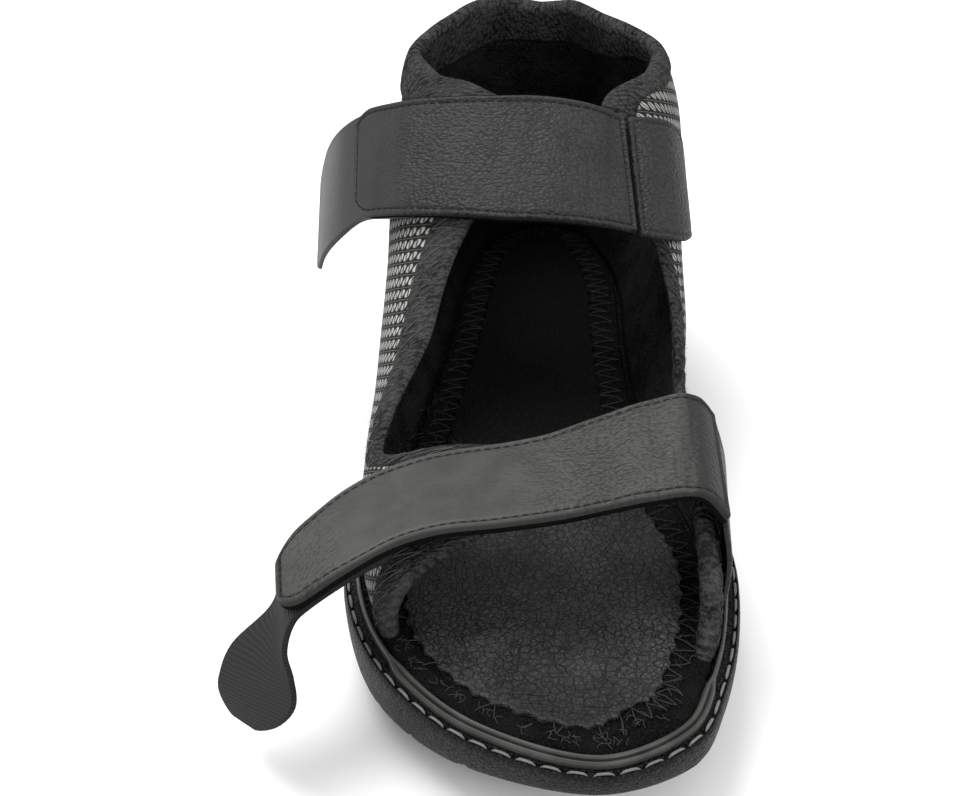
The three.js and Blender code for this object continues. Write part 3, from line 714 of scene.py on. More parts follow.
# Rows of pale slit ovals, each row half a step along, with bars between the rows
def knitMesh():
    b = Board("knitMesh", Specular_IOR_Level=0.25)
    along, up = b.layer("place")
    rows = (up + b.noise(14, 2) * knit["wobble"]) / knit["rise"]
    y = (b.math("FRACT", rows) - 0.5) * knit["rise"]
    odd = b.math("FRACT", b.math("FLOOR", rows) * 0.5)
    x = (b.math("FRACT", along / knit["pitch"] + odd) - 0.5) * knit["pitch"]
    ellipse = b.math("SQRT", (x / knit["halfWidth"]) ** 2 + (y / knit["halfHeight"]) ** 2)
    oval = 1 - b.ramp(ellipse, 0.78, 1.05)
    slit = (1 - b.ramp(abs(x - y * 0.3), 0.12, 0.3)) * (1 - b.ramp(abs(y), 1.0, 1.35))
    bridge = 1 - b.ramp(abs(abs(y) - knit["rise"] / 2), 0.1, 0.28)
    fine = b.noise(0.35, 2)
    light = b.mix(b.ramp(b.noise(7, 2), 0.3, 0.7), *(grey(shade, knit["tint"]) for shade in knit["shades"]))
    light = b.mix(fine * 0.5, light, grey(knit["fineShade"], (1, 0.98, 0.94)))
    base = b.mix(oval * (1 - slit * 0.85), grey(knit["gapShade"]), light)
    base = b.mix(bridge * 0.55, base, grey(knit["bridgeShade"], (1, 0.98, 0.94)))
    dome = oval * b.math("SQRT", b.math("MAXIMUM", 1 - ellipse * ellipse * 0.8, 0.0))
    height = dome * (1 - slit * 0.7) + bridge * 0.35 + fine * 0.15
    return b.finish(base, 0.85, height, knit["relief"], 0.9)


# Matted loops, with rows of larger loops along the padded binding, and painted shade in the crevices between
# the loops
def fuzzyKnit(name, shade, loop=0.9, ribbed=False):
    b = Board(name, Specular_IOR_Level=0.06)
    height = (1 - b.cells(loop, "F1")) * 0.6 + b.noise(0.5, 3, 0.7) * 0.5
    # Painted crevice shade follows this mask: 0 in the hollows between loops, 1 on the loop tops
    depth = b.ramp(height, 0.45, 0.95)
    if ribbed:
        along, across = b.layer("place")
        warp = b.noise(6, 2) * 2.4
        loops = b.flatCells("F1", b.point(along / 1.2 + warp * 0.5, across / 2.2 + warp * 0.4))
        rib = 1 - b.ramp(loops, 0.15, 0.8)
        height = height * 0.8 + rib * 0.6
        depth = depth * 0.55 + rib * 0.45
    # Painted shade: the low places between the loops are painted dark and the raised loops light
    base = b.mix(depth, grey(shade * 0.3), grey(shade * 1.12, (1, 1, 0.99)))
    base = b.mix(b.ramp(b.noise(11), 0.35, 0.7) * 0.3, base, grey(shade * 1.3, (1, 1, 0.99)))
    return b.finish(base, 0.95, height, 1.1)


leatherGrain = {"long": 1.25, "wide": 0.8, "seamAt": 1.9, "relief": 0.75, "pebbledAgain": (95.0, 108.0)}


# Pebbled leather with a dark seam and rim; smoothFrom and darkEnd are places along the piece
def leather(name, shade, tint=(1, 1, 0.99), pebble=0.6, rough=0.42, shine=0.3, smoothFrom=None, darkEnd=None):
    b = Board(name, Specular_IOR_Level=shine)
    along, across = b.layer("place")
    rim, _ = b.layer("edge")
    warp = b.noise(5, 2) * 3
    stretched = b.point(along / leatherGrain["long"] + warp * 0.2, across / leatherGrain["wide"] + warp * 0.8)
    lump = b.flatCells("SMOOTH_F1", stretched, Randomness=0.9, Smoothness=0.6)
    crease = b.node("TexNoise", 0, None, {"Vector": stretched, "Scale": 0.55, "Detail": 3.0})
    grained = b.ramp(b.noise(16, 2), 0.25, 0.6) * 0.2 + 0.8
    if smoothFrom is not None:
        smoothed = b.ramp(along, *smoothFrom) * (1 - b.ramp(along, *leatherGrain["pebbledAgain"]))
        grained = grained * (1 - smoothed * 0.85)
    soft = b.noise(9)
    base = b.mix(b.ramp(soft, 0.3, 0.7), grey(shade * 0.9, tint), grey(shade * 1.1, tint))
    base = b.mix(b.ramp(lump, 0.3, 0.7) * grained * 0.6, base, grey(shade * 0.42, tint))
    if darkEnd is not None:
        turned = 1 - b.ramp(along, darkEnd - 0.4, darkEnd + 0.8)
        base = b.mix(turned * 0.9, base, grey(shade * 0.5))
    seam = 1 - b.ramp(abs(rim - leatherGrain["seamAt"]), 0.2, 0.6)
    base = b.mix(seam * 0.6, base, grey(shade * 0.35, tint))
    edge = 1 - b.ramp(rim, 0.15, 0.5)
    base = b.mix(edge * 0.7, base, grey(shade * 0.4, tint))
    height = (lump * -1.0 + crease * 1.2) * grained * pebble + soft * 0.25 + b.noise(0.3, 2) * 0.06
    return b.finish(base, rough + soft * 0.12 + edge * 0.2, height, leatherGrain["relief"], 0.95)


def thread(name, shade):
    b = Board(name, Specular_IOR_Level=0.15)
    fine = b.noise(0.4, 2)
    base = b.mix(fine, grey(shade * 0.7), grey(shade * 1.15))
    return b.finish(base, 0.6, fine + b.noise(1.1, 2), 0.12, 0.7)


tapes = {
    "smoothTape": {"shine": 0.4, "course": 0.8, "weaveBy": 0.3, "courseBy": 0.2, "shade": 48, "rough": 0.48,
                   "relief": 0.1},
    "ribbedTape": {"shine": 0.2, "course": 1.15, "weaveBy": 0.12, "courseBy": 0.6, "shade": 35, "rough": 0.75,
                   "relief": 0.22},
}


# Hook tape: fine weave across, courses along and a dark border
def hookTape(name, weavePitch=0.7):
    g = tapes[name]
    b = Board(name, Specular_IOR_Level=g["shine"])
    along, across = b.layer("place")
    rim, _ = b.layer("edge")
    weave = b.math("SINE", across * (2 * math.pi / weavePitch))
    course = b.math("SINE", (along + b.noise(9, 2) * 1.2) * (2 * math.pi / g["course"]))
    height = weave * g["weaveBy"] + course * g["courseBy"] + b.noise(0.4) * 0.6
    base = b.mix(b.ramp(height, -0.4, 1.1), grey(g["shade"] * 0.6), grey(g["shade"], (0.97, 1, 1.03)))
    base = b.mix((1 - b.ramp(rim, 0.4, 1.1)) * 0.7, base, grey(g["shade"] * 0.45))
    return b.finish(base, g["rough"], height, g["relief"], 0.8)


finishes = {
    "sole": rubberSide(), "welt": weltRubber(), "footbed": footbedLeather(), "knit": knitMesh(),
    "lining": fuzzyKnit("loopLining", 40), "binding": fuzzyKnit("paddedKnit", 66, 1.0, True),
    "textile": fuzzyKnit("marginTextile", 26, 0.7), "felt": fuzzyKnit("strapFelt", 16, 0.6),
    "panel": leather("panelLeather", 34, (1, 1, 1), 0.25, 0.4),
    "strap": leather("strapLeather", 37, shine=0.24, smoothFrom=(58.0, 84.0)),
    "oliveStrap": leather("oliveLeather", 53, (1, 1, 0.9), 0.45, shine=0.26, smoothFrom=(34.0, 62.0),
                          darkEnd=10.0),
    "patch": leather("patchLeather", 35, pebble=0.75, shine=0.26),
    "thread": thread("soleThread", 104), "darkThread": thread("darkThread", 22),
    "fibre": thread("looseFibre", 42), "seam": thread("zigzagThread", 50),
    "fleck": thread("fleckThread", 50), "vee": thread("bindingThread", 76),
    "smoothTape": hookTape("smoothTape"), "ribbedTape": hookTape("ribbedTape"),
}


# Outsole: rings up its side and over the stitch groove as inset and share of height or depth
sole = {
    "side": [(7, 0), (5.4, 0.005), (3.4, 0.03), (2.5, 0.07), (1.8, 0.14), (1.25, 0.24), (0.8, 0.36),
             (0.45, 0.49), (0.2, 0.62), (0.05, 0.74), (0, 0.84), (0.05, 0.9), (0.2, 0.95), (0.42, 0.985),
             (0.7, 1)],
    "lip": [(0.85, 0.1), (1.0, 0.55), (1.25, 0.8), (1.7, 0.8), (1.9, 0.55), (2.1, 0.08), (2.3, 0.0),
            (4, 0), (8, 0), (14, 0)],
    "count": 1280, "strips": 25, "pitch": 13.0, "groove": 2.4, "ease": 0.3, "depth": 1.5, "plainEnd": 0.7,
    "stitch": 6.2, "stitchInset": 1.45, "stitchSink": 0.25, "stitchLength": 4.9, "threadRadius": 0.4,
    "notch": 0.09, "notchDepth": 0.9,
}


# Underside with its cross grooves, which stop short of heel and toe
def treadAt(y):
    phase = np.mod(heelY - y + sole["pitch"] / 2, sole["pitch"]) - sole["pitch"] / 2
    inside = np.abs(y) < heelY - sole["pitch"] * sole["plainEnd"]
    cut = smooth((sole["groove"] / 2 + sole["ease"] - np.abs(phase)) / (2 * sole["ease"])) * inside
    return treadHeight(y) + cut * sole["depth"]


# Strips from each point of a ring to its mirror point on the other side
def acrossStrips(ring, strips):
    count = len(ring)
    k = np.arange(count // 2 + 1)
    t = np.linspace(0, 1, strips)[None, :, None]
    return ring[k][:, None] * (1 - t) + ring[(count - k) % count][:, None] * t


def upright(*shape):
    return np.tile([0.0, 0, 1], (*shape, 1))


def buildSole():
    count = sole["count"]
    share = np.arange(count) / count
    phase = np.mod(share * soleGirth / sole["stitch"], 1)
    notch = bell(np.minimum(phase, 1 - phase), 0, sole["notch"]) * sole["notchDepth"]
    rings = []
    for inset, up in sole["side"]:
        y = outlineAt(share, inset)[1]
        wide = smooth(up / 0.3)  # the grooves fade out over the lowest part of the side
        base = treadAt(y) * (1 - wide) + treadHeight(y) * wide
        rings.append(ringAt(share, inset, base + up * (shoe["soleTop"] - base)))
    for inset, down in sole["lip"]:
        rings.append(ringAt(share, inset, shoe["soleTop"] - down - notch * (1.0 < inset < 2.0)))
    verts = np.stack(rings, 1)
    bottom = acrossStrips(verts[:, 0], sole["strips"])
    bottom[..., 2] = treadAt(bottom[..., 1])
    faces = np.vstack([gridFaces(count, len(rings), closeU=True)[:, ::-1],
                       gridFaces(count // 2 + 1, sole["strips"], start=count * len(rings))])
    every = np.vstack([verts.reshape(-1, 3), bottom.reshape(-1, 3)])
    obj = makeObject("rubberSole", every, faces, finishes["sole"])
    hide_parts("outsole")
    line = ringAt(np.linspace(0, 1, 2000), sole["stitchInset"], shoe["soleTop"] - sole["stitchSink"])
    here, along = stepsAlong(line, sole["stitch"], sole["stitch"] / 2)
    up = upright(len(here))
    up += rng.normal(0, 0.05, up.shape)
    length = sole["stitchLength"] + rng.normal(0, 0.15, len(here))
    stitches = threadMesh("soleStitches", here, along, up, length, sole["threadRadius"],
                          finishes["thread"], 0.7, 0.75, 7)


# Profiles of the welt as inset and share of its height: a round band, and two ridges at the open toe
welt = {
    "band": [(3.5, 0), (3.5, 0.6), (3.55, 0.75), (3.7, 0.9), (3.9, 1), (4.1, 1), (4.3, 1), (4.5, 0.9),
             (4.7, 0.5), (4.8, 0)],
    "ridges": [(2.6, 0), (2.7, 0.5), (3.1, 0.7), (3.6, 0.62), (3.9, 0.3), (4.2, 0.75), (4.8, 0.9),
               (5.4, 0.7), (5.8, 0.25), (9.7, 0.2)],
    "medialFrom": 0.895, "lateralFrom": 0.865, "ease": 0.02, "count": 900, "rows": 28,
}
fringe = {"start": 0.385, "end": 0.62, "inset": 8.5, "half": 2.9, "wave": 0.2, "waves": 610,
          "foot": 0.5, "height": 1.75, "endRadius": 3.0, "count": 260, "rows": 14}


# Welt: its profile changes from the band to the ridges where the toe is open
def buildWelt():
    t = np.linspace(0, 9, welt["rows"])
    band, ridges = (np.stack([np.interp(t, np.arange(10), values) for values in np.transpose(welt[k])], -1)
                    for k in ("band", "ridges"))
    share = np.arange(welt["count"])[:, None] / welt["count"]
    s = (heelY - outlineAt(share)[1]) / shoe["length"]
    start = np.where(share > 0.5, welt["lateralFrom"], welt["medialFrom"])
    atToe = smooth((s - start) / welt["ease"])[..., None]
    profile = band * (1 - atToe) + ridges * atToe
    verts = ringAt(share + 0 * t, profile[..., 0], wallBase + profile[..., 1] * shoe["welt"])
    obj = makeObject("weltBand", verts, gridFaces(*verts.shape[:2], closeU=True)[:, ::-1], finishes["welt"])
    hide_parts("welt")


# Textile roll over the inner part of the welt at the toe, half round and faintly wavy
def buildFringe():
    share = np.linspace(fringe["start"], fringe["end"], fringe["count"])[:, None]
    a = np.linspace(0, np.pi, fringe["rows"])
    inset = fringe["inset"] + fringe["half"] * np.cos(a) + fringe["wave"] * np.sin(share * fringe["waves"])
    fromEnd = np.minimum(share - fringe["start"], fringe["end"] - share) * soleGirth
    rise = (fringe["foot"] + fringe["height"] * np.sin(a)) * roundEdge(fromEnd, fringe["endRadius"])
    verts = ringAt(share + 0 * a, inset, wallBase + rise)
    roll = makeObject("toeFringe", verts, gridFaces(*verts.shape[:2]), finishes["textile"])


# Footbed: textile ground, and a scalloped cover that reaches out at the toe and the medial side
footbed = {
    "inset": shoe["wallInset"] + shoe["padding"] / 2, "scallops": 88, "depth": 1.1,
    "groundCount": 600, "count": 1408, "strips": 60,
    "groundRim": [(0, 0), (0, 0.6), (0.2, 0.9), (0.6, 1), (3, 1)],
    "coverRim": [(0.1, 0), (0, 0.4), (0.08, 0.72), (0.3, 0.93), (0.7, 1.0), (1.5, 1), (3, 1)],
    "forward": 8.0, "forwardAt": (0.55, 0.09), "medial": 4.5, "medialAt": (0.4, 0.075),
}


def forwardShare(share):
    return bell(share, *footbed["forwardAt"], 4)


def medialReach(share):
    return footbed["medial"] * bell(share, *footbed["medialAt"], 4)


def coverReach(share):
    return np.maximum(footbed["forward"] * forwardShare(share), medialReach(share))


def coverEdge(share):
    wave = np.abs(np.cos(np.pi * share * footbed["scallops"]))
    return footbed["inset"] + shoe["margin"] - coverReach(share) + footbed["depth"] * wave


def groundRelief(x, y):
    return 0.12 * np.sin(x / 7 + y / 11)


def coverRelief(x, y):
    return 0.22 * np.sin(x / 9 + 0.6 * np.sin(y / 14)) * np.sin(y / 17) + 0.1 * np.sin(x / 3.1 + y / 4.3)


# Flat slab inside a wavy line: rings over its edge, then strips across from side to side
def slabMesh(name, count, insetOf, rim, base, thickness, material, relief):
    share = np.arange(count) / count
    rings = []
    for inward, up in rim:
        ring = ringAt(share, insetOf(share) + inward, base + up * thickness)
        ring[:, 2] += relief(ring[:, 0], ring[:, 1]) * (up > 0.9)
        rings.append(ring)
    verts = np.stack(rings, 1)
    top = acrossStrips(verts[:, -1], footbed["strips"])
    top[..., 2] = base + thickness + relief(top[..., 0], top[..., 1])
    faces = np.vstack([gridFaces(count, len(rim), closeU=True),
                       gridFaces(count // 2 + 1, footbed["strips"], start=count * len(rim))])[:, ::-1]
    return makeObject(name, np.vstack([verts.reshape(-1, 3), top.reshape(-1, 3)]), faces, material)


def buildFootbed():
    ground = slabMesh("footbedGround", footbed["groundCount"], lambda s: footbed["inset"] + 0 * s,
                      footbed["groundRim"], wallBase, shoe["insole"], finishes["textile"], groundRelief)
    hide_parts("insole")
    base = wallBase + shoe["insole"] + shoe["seat"]
    cover = slabMesh("footbedCover", footbed["count"], coverEdge, footbed["coverRim"], base,
                     shoe["cover"], finishes["footbed"], coverRelief)
    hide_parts("insole_cover")


margin = {"strokes": 224, "radius": 0.14, "outer": 2.0, "inner": 1.4, "outerReach": 4.5, "lift": 0.45,
          "lost": 0.75, "flecks": 170, "fleckFrom": 0.36, "fleckRun": 0.42, "fleckLength": 2.4,
          "fleckRadius": 0.11, "fibres": 2600, "fibreWidth": 0.12}


# Loose zigzag thread from the outer to the inner edge of the margin, with strokes lost at the toe
def buildMarginThreads():
    n = margin["strokes"]
    k = np.arange(n)
    share = (k + rng.normal(0, 0.16, n)) / n
    outerReach = np.maximum(margin["outerReach"] * forwardShare(share), 0.5 * medialReach(share))
    inset = footbed["inset"] + np.where(k % 2 == 0, margin["outer"] - outerReach,
                                        shoe["margin"] + margin["inner"] - coverReach(share))
    inset = inset + rng.normal(0, 0.5, n) * (1 + forwardShare(share))
    ends = ringAt(share, inset, wallBase + shoe["insole"] + 0.5)
    t = np.linspace(0, 1, 9)[None, :, None]
    bend = rng.normal(0, 0.5, (n, 1, 3)) * [1, 1, 0.2]
    line = ends[:, None] * (1 - t) + np.roll(ends, -1, 0)[:, None] * t + bend * np.sin(np.pi * t)
    line[..., 2] += margin["lift"] * np.sin(np.pi * t[..., 0])
    line = line[rng.random(n) > margin["lost"] * forwardShare(share)]
    made = strandMesh("marginThreads", line, upright(*line.shape[:2]), margin["radius"], finishes["seam"])


# Short bent pieces of thread, scattered over the margin round the toe
def buildMarginFlecks():
    n = margin["flecks"]
    t = np.linspace(0, 1, 9)[None, :, None]
    share = margin["fleckFrom"] + rng.random(n) * margin["fleckRun"]
    spread = 2.6 + (shoe["margin"] - 1.0) * (1 - forwardShare(share))
    inset = footbed["inset"] - 3.5 + rng.random(n) * spread
    centre = ringAt(share, inset, wallBase + shoe["insole"] + 0.75)
    turn = rng.random(n) * 2 * np.pi
    run = np.stack([np.cos(turn), np.sin(turn), 0 * turn], -1)
    bend = np.stack([-np.sin(turn), np.cos(turn), 0.4 + 0 * turn], -1) * rng.normal(0.3, 0.4, (n, 1))
    line = (centre[:, None] + run[:, None] * (t - 0.5) * margin["fleckLength"]
            + bend[:, None] * np.sin(np.pi * t))
    made = strandMesh("marginFlecks", line, upright(*line.shape[:2]), margin["fleckRadius"],
                      finishes["fleck"])


def buildMarginFibres():
    n = margin["fibres"]
    share = rng.random(n)
    inset = footbed["inset"] + 0.5 + rng.random(n) * shoe["margin"]
    root = ringAt(share, inset, wallBase + shoe["insole"] + 0.1)
    turn = rng.random(n) * 2 * np.pi
    out = np.stack([np.cos(turn), np.sin(turn), 0.25 + rng.random(n) * 0.5], -1)
    curl = rng.normal(0, 0.6, (n, 3)) - [0, 0, 0.4]
    length = 1.2 + rng.random(n) * 1.6
    made = fibreMesh("marginFibres", root, out, curl, length, margin["fibreWidth"], finishes["fibre"])


# Upper wall: knit mesh outside, loop lining inside. The knit's rows leave the level at turnAt.
wall = {"outer": 1.5, "back": 0.1, "liningTop": 0.05, "liningUnder": -1.5, "along": 420, "up": 54,
        "turnAt": 78, "turnOver": 14, "slope": 0.7, "heelBlend": 30}
wallCreases = {
    1: [(58, 52, 1, 0.35, 20, 4.5, -0.8), (34, 44, 1, 0.2, 16, 4, -0.6), (92, 70, 0.3, 1, 18, 5, 0.5),
        (-72, 44, 0.4, 1, 12, 4, -0.6)],
    -1: [(52, 55, 1, 0.4, 20, 4.5, -0.8), (20, 42, 1, 0.15, 18, 4, -0.6), (96, 66, 0.25, 1, 18, 5, 0.5),
         (-30, 38, 1, -0.2, 15, 3.5, -0.5)],
}


def wallPlace(u, v):
    return edgeLine(u, v * (1 - bandShare(u)))


def wallOuter(u, v):
    p = wallPlace(u, v)
    medial, lateral = (folds(p[..., 1], p[..., 2], wallCreases[side]) for side in (1, -1))
    return wall["outer"] + np.where(p[..., 0] > 0, medial, lateral)


# The knit's rows run level round the heel and rise toward the toe along the sides
def wallLayer(u, v):
    w, reach = edgeStation(u, v * (1 - bandShare(u)))
    p = upperPoint(w, reach)
    past = (wall["turnAt"] - p[..., 1]) / wall["turnOver"]
    slope = wall["slope"] / (1 + np.exp(-past))
    girth = shareAt(w) * soleGirth
    lean = slope * p[..., 2] * smooth(np.abs(girth) / wall["heelBlend"])
    up = p[..., 2] - wall["slope"] * wall["turnOver"] * np.logaddexp(0, past)
    return np.stack([girth + np.where(girth >= 0, 1, -1) * lean, up], -1)


# Nothing of a piece goes below the height at which it stands
def floored(obj, floor):
    co = np.empty(len(obj.data.vertices) * 3)
    obj.data.vertices.foreach_get("co", co)
    co[2::3] = np.maximum(co[2::3], floor * 0.001)
    obj.data.vertices.foreach_set("co", co)
    obj.data.update()


def buildUpper():
    us, vs = np.linspace(0, 1, wall["along"]), np.linspace(0, 1, wall["up"])
    mesh = skinMesh("knitWall", wallPlace, us, vs, wallOuter, level(wall["back"]), finishes["knit"],
                    {"place": wallLayer})
    floored(mesh, wallBase)
    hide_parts("upper")
    inner = skinMesh("loopLining", wallPlace, us[::2], vs[::2], level(wall["liningTop"]),
                     level(wall["liningUnder"]), finishes["lining"])
    floored(inner, wallBase)


# Binding: padded knit over the free edge, with rounded rims, thinner along the sides
binding = {"overlap": 2.0, "lowRim": 2.2, "topRim": 2.9, "endRim": 3, "edgeRun": 600, "thin": 0.62,
           "rimThick": 0.86, "puff": 0.125, "endThick": 0.35, "along": 560, "across": 26,
           "pitch": 5.6, "threadRadius": 0.15, "fuzz": 5600, "fuzzWidth": 0.11}


def bindingPlace(u, v):
    length = np.linalg.norm(edgeLine(u, np.zeros_like(u)) - edgeLine(u, np.ones_like(u)), axis=-1)
    start = 1 - bandShare(u) - binding["overlap"] / length
    return edgeLine(u, start + v * (1 - start))


# Distance between the two long edges of a surface, at each place along it
def widthAt(place, s):
    return np.linalg.norm(place(s, np.zeros_like(s)) - place(s, np.ones_like(s)), axis=-1)


# Half thickness: puffed in the middle, round at both rims and at the two ends of the edge
def bindingHalf(u, v):
    width = widthAt(bindingPlace, u)
    rims = roundEdge(v * width, binding["lowRim"]) * roundEdge((1 - v) * width, binding["topRim"])
    ends = roundEdge(np.minimum(u, 1 - u) * binding["edgeRun"], binding["endRim"])
    thick = binding["thin"] + (1 - binding["thin"]) * np.interp(u, bandAt, np.maximum(collarRise, fullBand))
    puffed = binding["rimThick"] + binding["puff"] * np.sin(np.pi * v)
    atEnd = binding["endThick"] + (1 - binding["endThick"]) * ends
    return shoe["padding"] / 2 * thick * puffed * rims * atEnd


def buildBinding():
    run = runAlong(bindingPlace(bandAt, np.full_like(bandAt, 0.5)))

    def layer(u, v):
        return np.stack([np.interp(u, bandAt, run), v * widthAt(bindingPlace, u)], -1)

    made = skinMesh("bindingKnit", bindingPlace, crowded(binding["along"], 0.2),
                    crowded(binding["across"], 0.75), bindingHalf, lambda u, v: -bindingHalf(u, v),
                    finishes["binding"], {"place": layer})
    floored(made, wallBase)
    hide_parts("binding")


# Zigzag thread over one face of the binding, two strokes to each V, left out where it can't be seen
def bindingZigzag(name, side, low, high, finish):
    u = np.linspace(0.004, 0.996, 3000)
    run = runAlong(bindingPlace(u, np.full_like(u, 0.5)))
    n = int(run[-1] / binding["pitch"]) * 2
    at = np.interp((np.arange(n + 1) + rng.normal(0, 0.06, n + 1)) / n * run[-1], run, u)
    across = np.where(np.arange(n + 1) % 2 == 0, low, high) + rng.normal(0, 0.02, n + 1)
    station = np.abs(edgeStation(at, np.ones_like(at))[0])
    shown = (station < 0.13) & (side > 0) | (station > 0.37)
    shown = shown[:-1] & shown[1:]
    t = np.linspace(0, 1, 8)[None]
    us, vs = (ends[:-1][shown][:, None] * (1 - t) + ends[1:][shown][:, None] * t for ends in (at, across))
    out = normalAt(bindingPlace, us, vs) * side
    lift = bindingHalf(us, vs) + 0.06 + 0.1 * np.sin(np.pi * t)
    points = bindingPlace(us, vs) + out * lift[..., None]
    made = strandMesh(name, points, out, binding["threadRadius"], finishes[finish])


# Fuzz of the binding: short curled fibres on both faces and the rims
def bindingFuzz():
    count = binding["fuzz"]
    u, v = rng.uniform(0.004, 0.996, (count, 1)), rng.uniform(0.05, 0.97, (count, 1))
    side = np.where(rng.random((count, 1)) < 0.5, 1.0, -1.0)
    out = normalAt(bindingPlace, u, v)[:, 0] * side
    root = bindingPlace(u, v)[:, 0] + out * (bindingHalf(u, v) - 0.1)
    lean = out * 0.6 + rng.normal(0, 0.5, (count, 3))
    curl = rng.normal(0, 0.6, (count, 3))
    length = 0.4 + rng.random(count) * 0.7
    made = fibreMesh("bindingFuzz", root, lean, curl, length, binding["fuzzWidth"], finishes["fibre"])


# Heel panel with raised edge strips; spread is its real width over the width along the wall
panel = {"low": 0.015, "high": 0.82, "tall": 78, "edge": 3.4, "rise": 0.6, "spread": 1.15, "round": 0.8,
         "endRun": 70, "valley": 0.15, "stitchAt": 1.8, "pitch": 2.4, "stitchLength": 1.9, "radius": 0.24}
panelCreases = [(6, 62, 1, 0.12, 20, 4, -0.5), (-8, 84, 1, -0.15, 18, 4, -0.4), (0, 40, 0.1, 1, 22, 8, 0.4)]


def panelReach(v):
    return panel["low"] + v * (panel["high"] - panel["low"])


def panelPlace(u, v):
    return upperPoint((1 - 2 * u) * column(panelTable, "reach", "half", panelReach(v)), panelReach(v))


def panelWidth(v):
    return 2 * column(panelTable, "reach", "half", panelReach(v)) * shoe["length"] * panel["spread"]


def panelSide(u, v):
    return np.minimum(u, 1 - u) * panelWidth(v)


# Height over the wall: leather, its raised strip beside the edge, a valley inside the strip, and creases
def panelOuter(u, v):
    side = panelSide(u, v)
    strip = panel["rise"] * (1 - smooth((side - panel["edge"]) / 0.35))
    valley = panel["valley"] * bell(side, panel["edge"] + 0.5, 0.35)
    ends = roundEdge(np.minimum(v, 1 - v) * panel["endRun"], panel["round"])
    p = panelPlace(u, v)
    soft = folds(p[..., 0], p[..., 2], panelCreases) * smooth(side / 8)
    return panelUnder + (shoe["leather"] + soft + strip - valley) * roundEdge(side, panel["round"]) * ends


panelUnder = shoe["wall"] / 2 + shoe["seat"] * 0.2


def buildPanel():
    us = np.unique(np.concatenate([np.linspace(0, 1, 121), np.linspace(0, 0.1, 30), np.linspace(0.9, 1, 30)]))
    layers = {"place": lambda u, v: np.stack([panelSide(u, v), v * panel["tall"]], -1),
              "edge": lambda u, v: np.stack([panelSide(u, v), 0 * v], -1)}
    made = skinMesh("heelPanel", panelPlace, us, crowded(90, 0.5), panelOuter, level(panelUnder),
                    finishes["panel"], layers)
    floored(made, wallBase)
    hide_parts("heel_panel")
    v = np.linspace(0.01, 0.99, 300)
    inward = panel["stitchAt"] / panelWidth(v)
    for name, u in (("panelStitchesMedial", inward), ("panelStitchesLateral", 1 - inward)):
        out = normalAt(panelPlace, u, v)
        line = panelPlace(u, v) + out * (panelOuter(u, v) + 0.02)[:, None]
        here, along, up = stepsAlong(line, panel["pitch"], panel["pitch"] / 2, (out,))
        made = threadMesh(name, here, along, up, panel["stitchLength"], panel["radius"],
                          finishes["darkThread"], 0.25, 1.0)


# Straps, patches and tapes, with each seam at a distance inside the rim
strap = {"top": 1.6, "sunk": 0.1, "underTop": -0.15, "rim": 0.9, "seamAt": 1.9, "seam": 0.42,
         "ridgeAt": 0.9, "ridge": 0.15, "felt": -1.5, "feltTop": -0.2, "feltOut": 0.012,
         "along": {"ankle": 200, "forefoot": 240}, "across": 44, "pitch": 2.5, "radius": 0.24}
patch = {"rim": 0.8, "seam": 0.35, "along": 60, "across": 40}
tape = {"rim": 0.5, "wave": 0.1, "waveLength": 5, "along": 160, "across": 36}
strapFolds = {
    "ankle": [(30, 17, 0.2, 1, 16, 3.2, -0.5), (38, 15, 0.3, 1, 14, 2.6, -0.4),
              (47, 20, -0.2, 1, 12, 3, -0.35), (6, 14, 0.15, 1, 15, 2.2, -0.6),
              (66, 13, 0.25, 1, 16, 5, 0.35)],
    "forefoot": [(10, 17, 0.08, 1, 17, 1.2, -0.55), (14, 16, 0.1, 1, 15, 2.6, 0.45),
                 (60, 14, 0.3, 1, 16, 4, -0.3), (24, 17, 0.1, 1, 18, 5, 0.4), (44, 15, 0.25, 1, 16, 5, 0.35),
                 (88, 15, 0.35, 1, 16, 6, -0.5), (104, 16, 0.3, 1, 15, 5, 0.35)],
}


# Distance of a place on a band from its nearest rim
def edgeDistance(place, s, v):
    return np.minimum(np.minimum(v, 1 - v) * widthAt(place, s), np.minimum(s, 1 - s) * place.total + 0 * v)


# Layers of a band in millimetres: its length and crossing, and the distance from its rim
def bandLayers(place):
    return {"place": lambda s, v: np.stack([s * place.total, v * widthAt(place, s)], -1),
            "edge": lambda s, v: np.stack([edgeDistance(place, s, v), 0 * s], -1)}


# Leather strap: a top layer that is rounded at its rim, a felt layer under it, stitches near the rim
def buildStrap(name, node, rows, radii, limb, finish):
    place = bandSurface(rows, *radii)
    us, vs = crowded(strap["along"][limb], 0.75), crowded(strap["across"], 0.7)

    def outer(s, v):
        d = edgeDistance(place, s, v)
        seam = strap["ridge"] * bell(d, strap["ridgeAt"], 0.5) - strap["seam"] * bell(d, strap["seamAt"], 0.4)
        swell = folds(s * place.total, v * widthAt(place, s), strapFolds[limb])
        return (strap["top"] + seam + swell) * roundEdge(d, strap["rim"]) - strap["sunk"]

    def feltPlace(s, v):
        return place(s, v * (1 + 2 * strap["feltOut"]) - strap["feltOut"])

    def feltUnder(s, v):
        return strap["felt"] * roundEdge(edgeDistance(place, s, v) + 0.4, strap["rim"]) - 0.05

    top = skinMesh(name + "Leather", place, us, vs, outer, level(strap["underTop"]), finishes[finish],
                   bandLayers(place))
    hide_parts(node)
    felt = skinMesh(name + "Felt", feltPlace, us[::2], vs[::2], level(strap["feltTop"]), feltUnder,
                    finishes["felt"])
    rimStitches(name + "Stitches", place, outer)


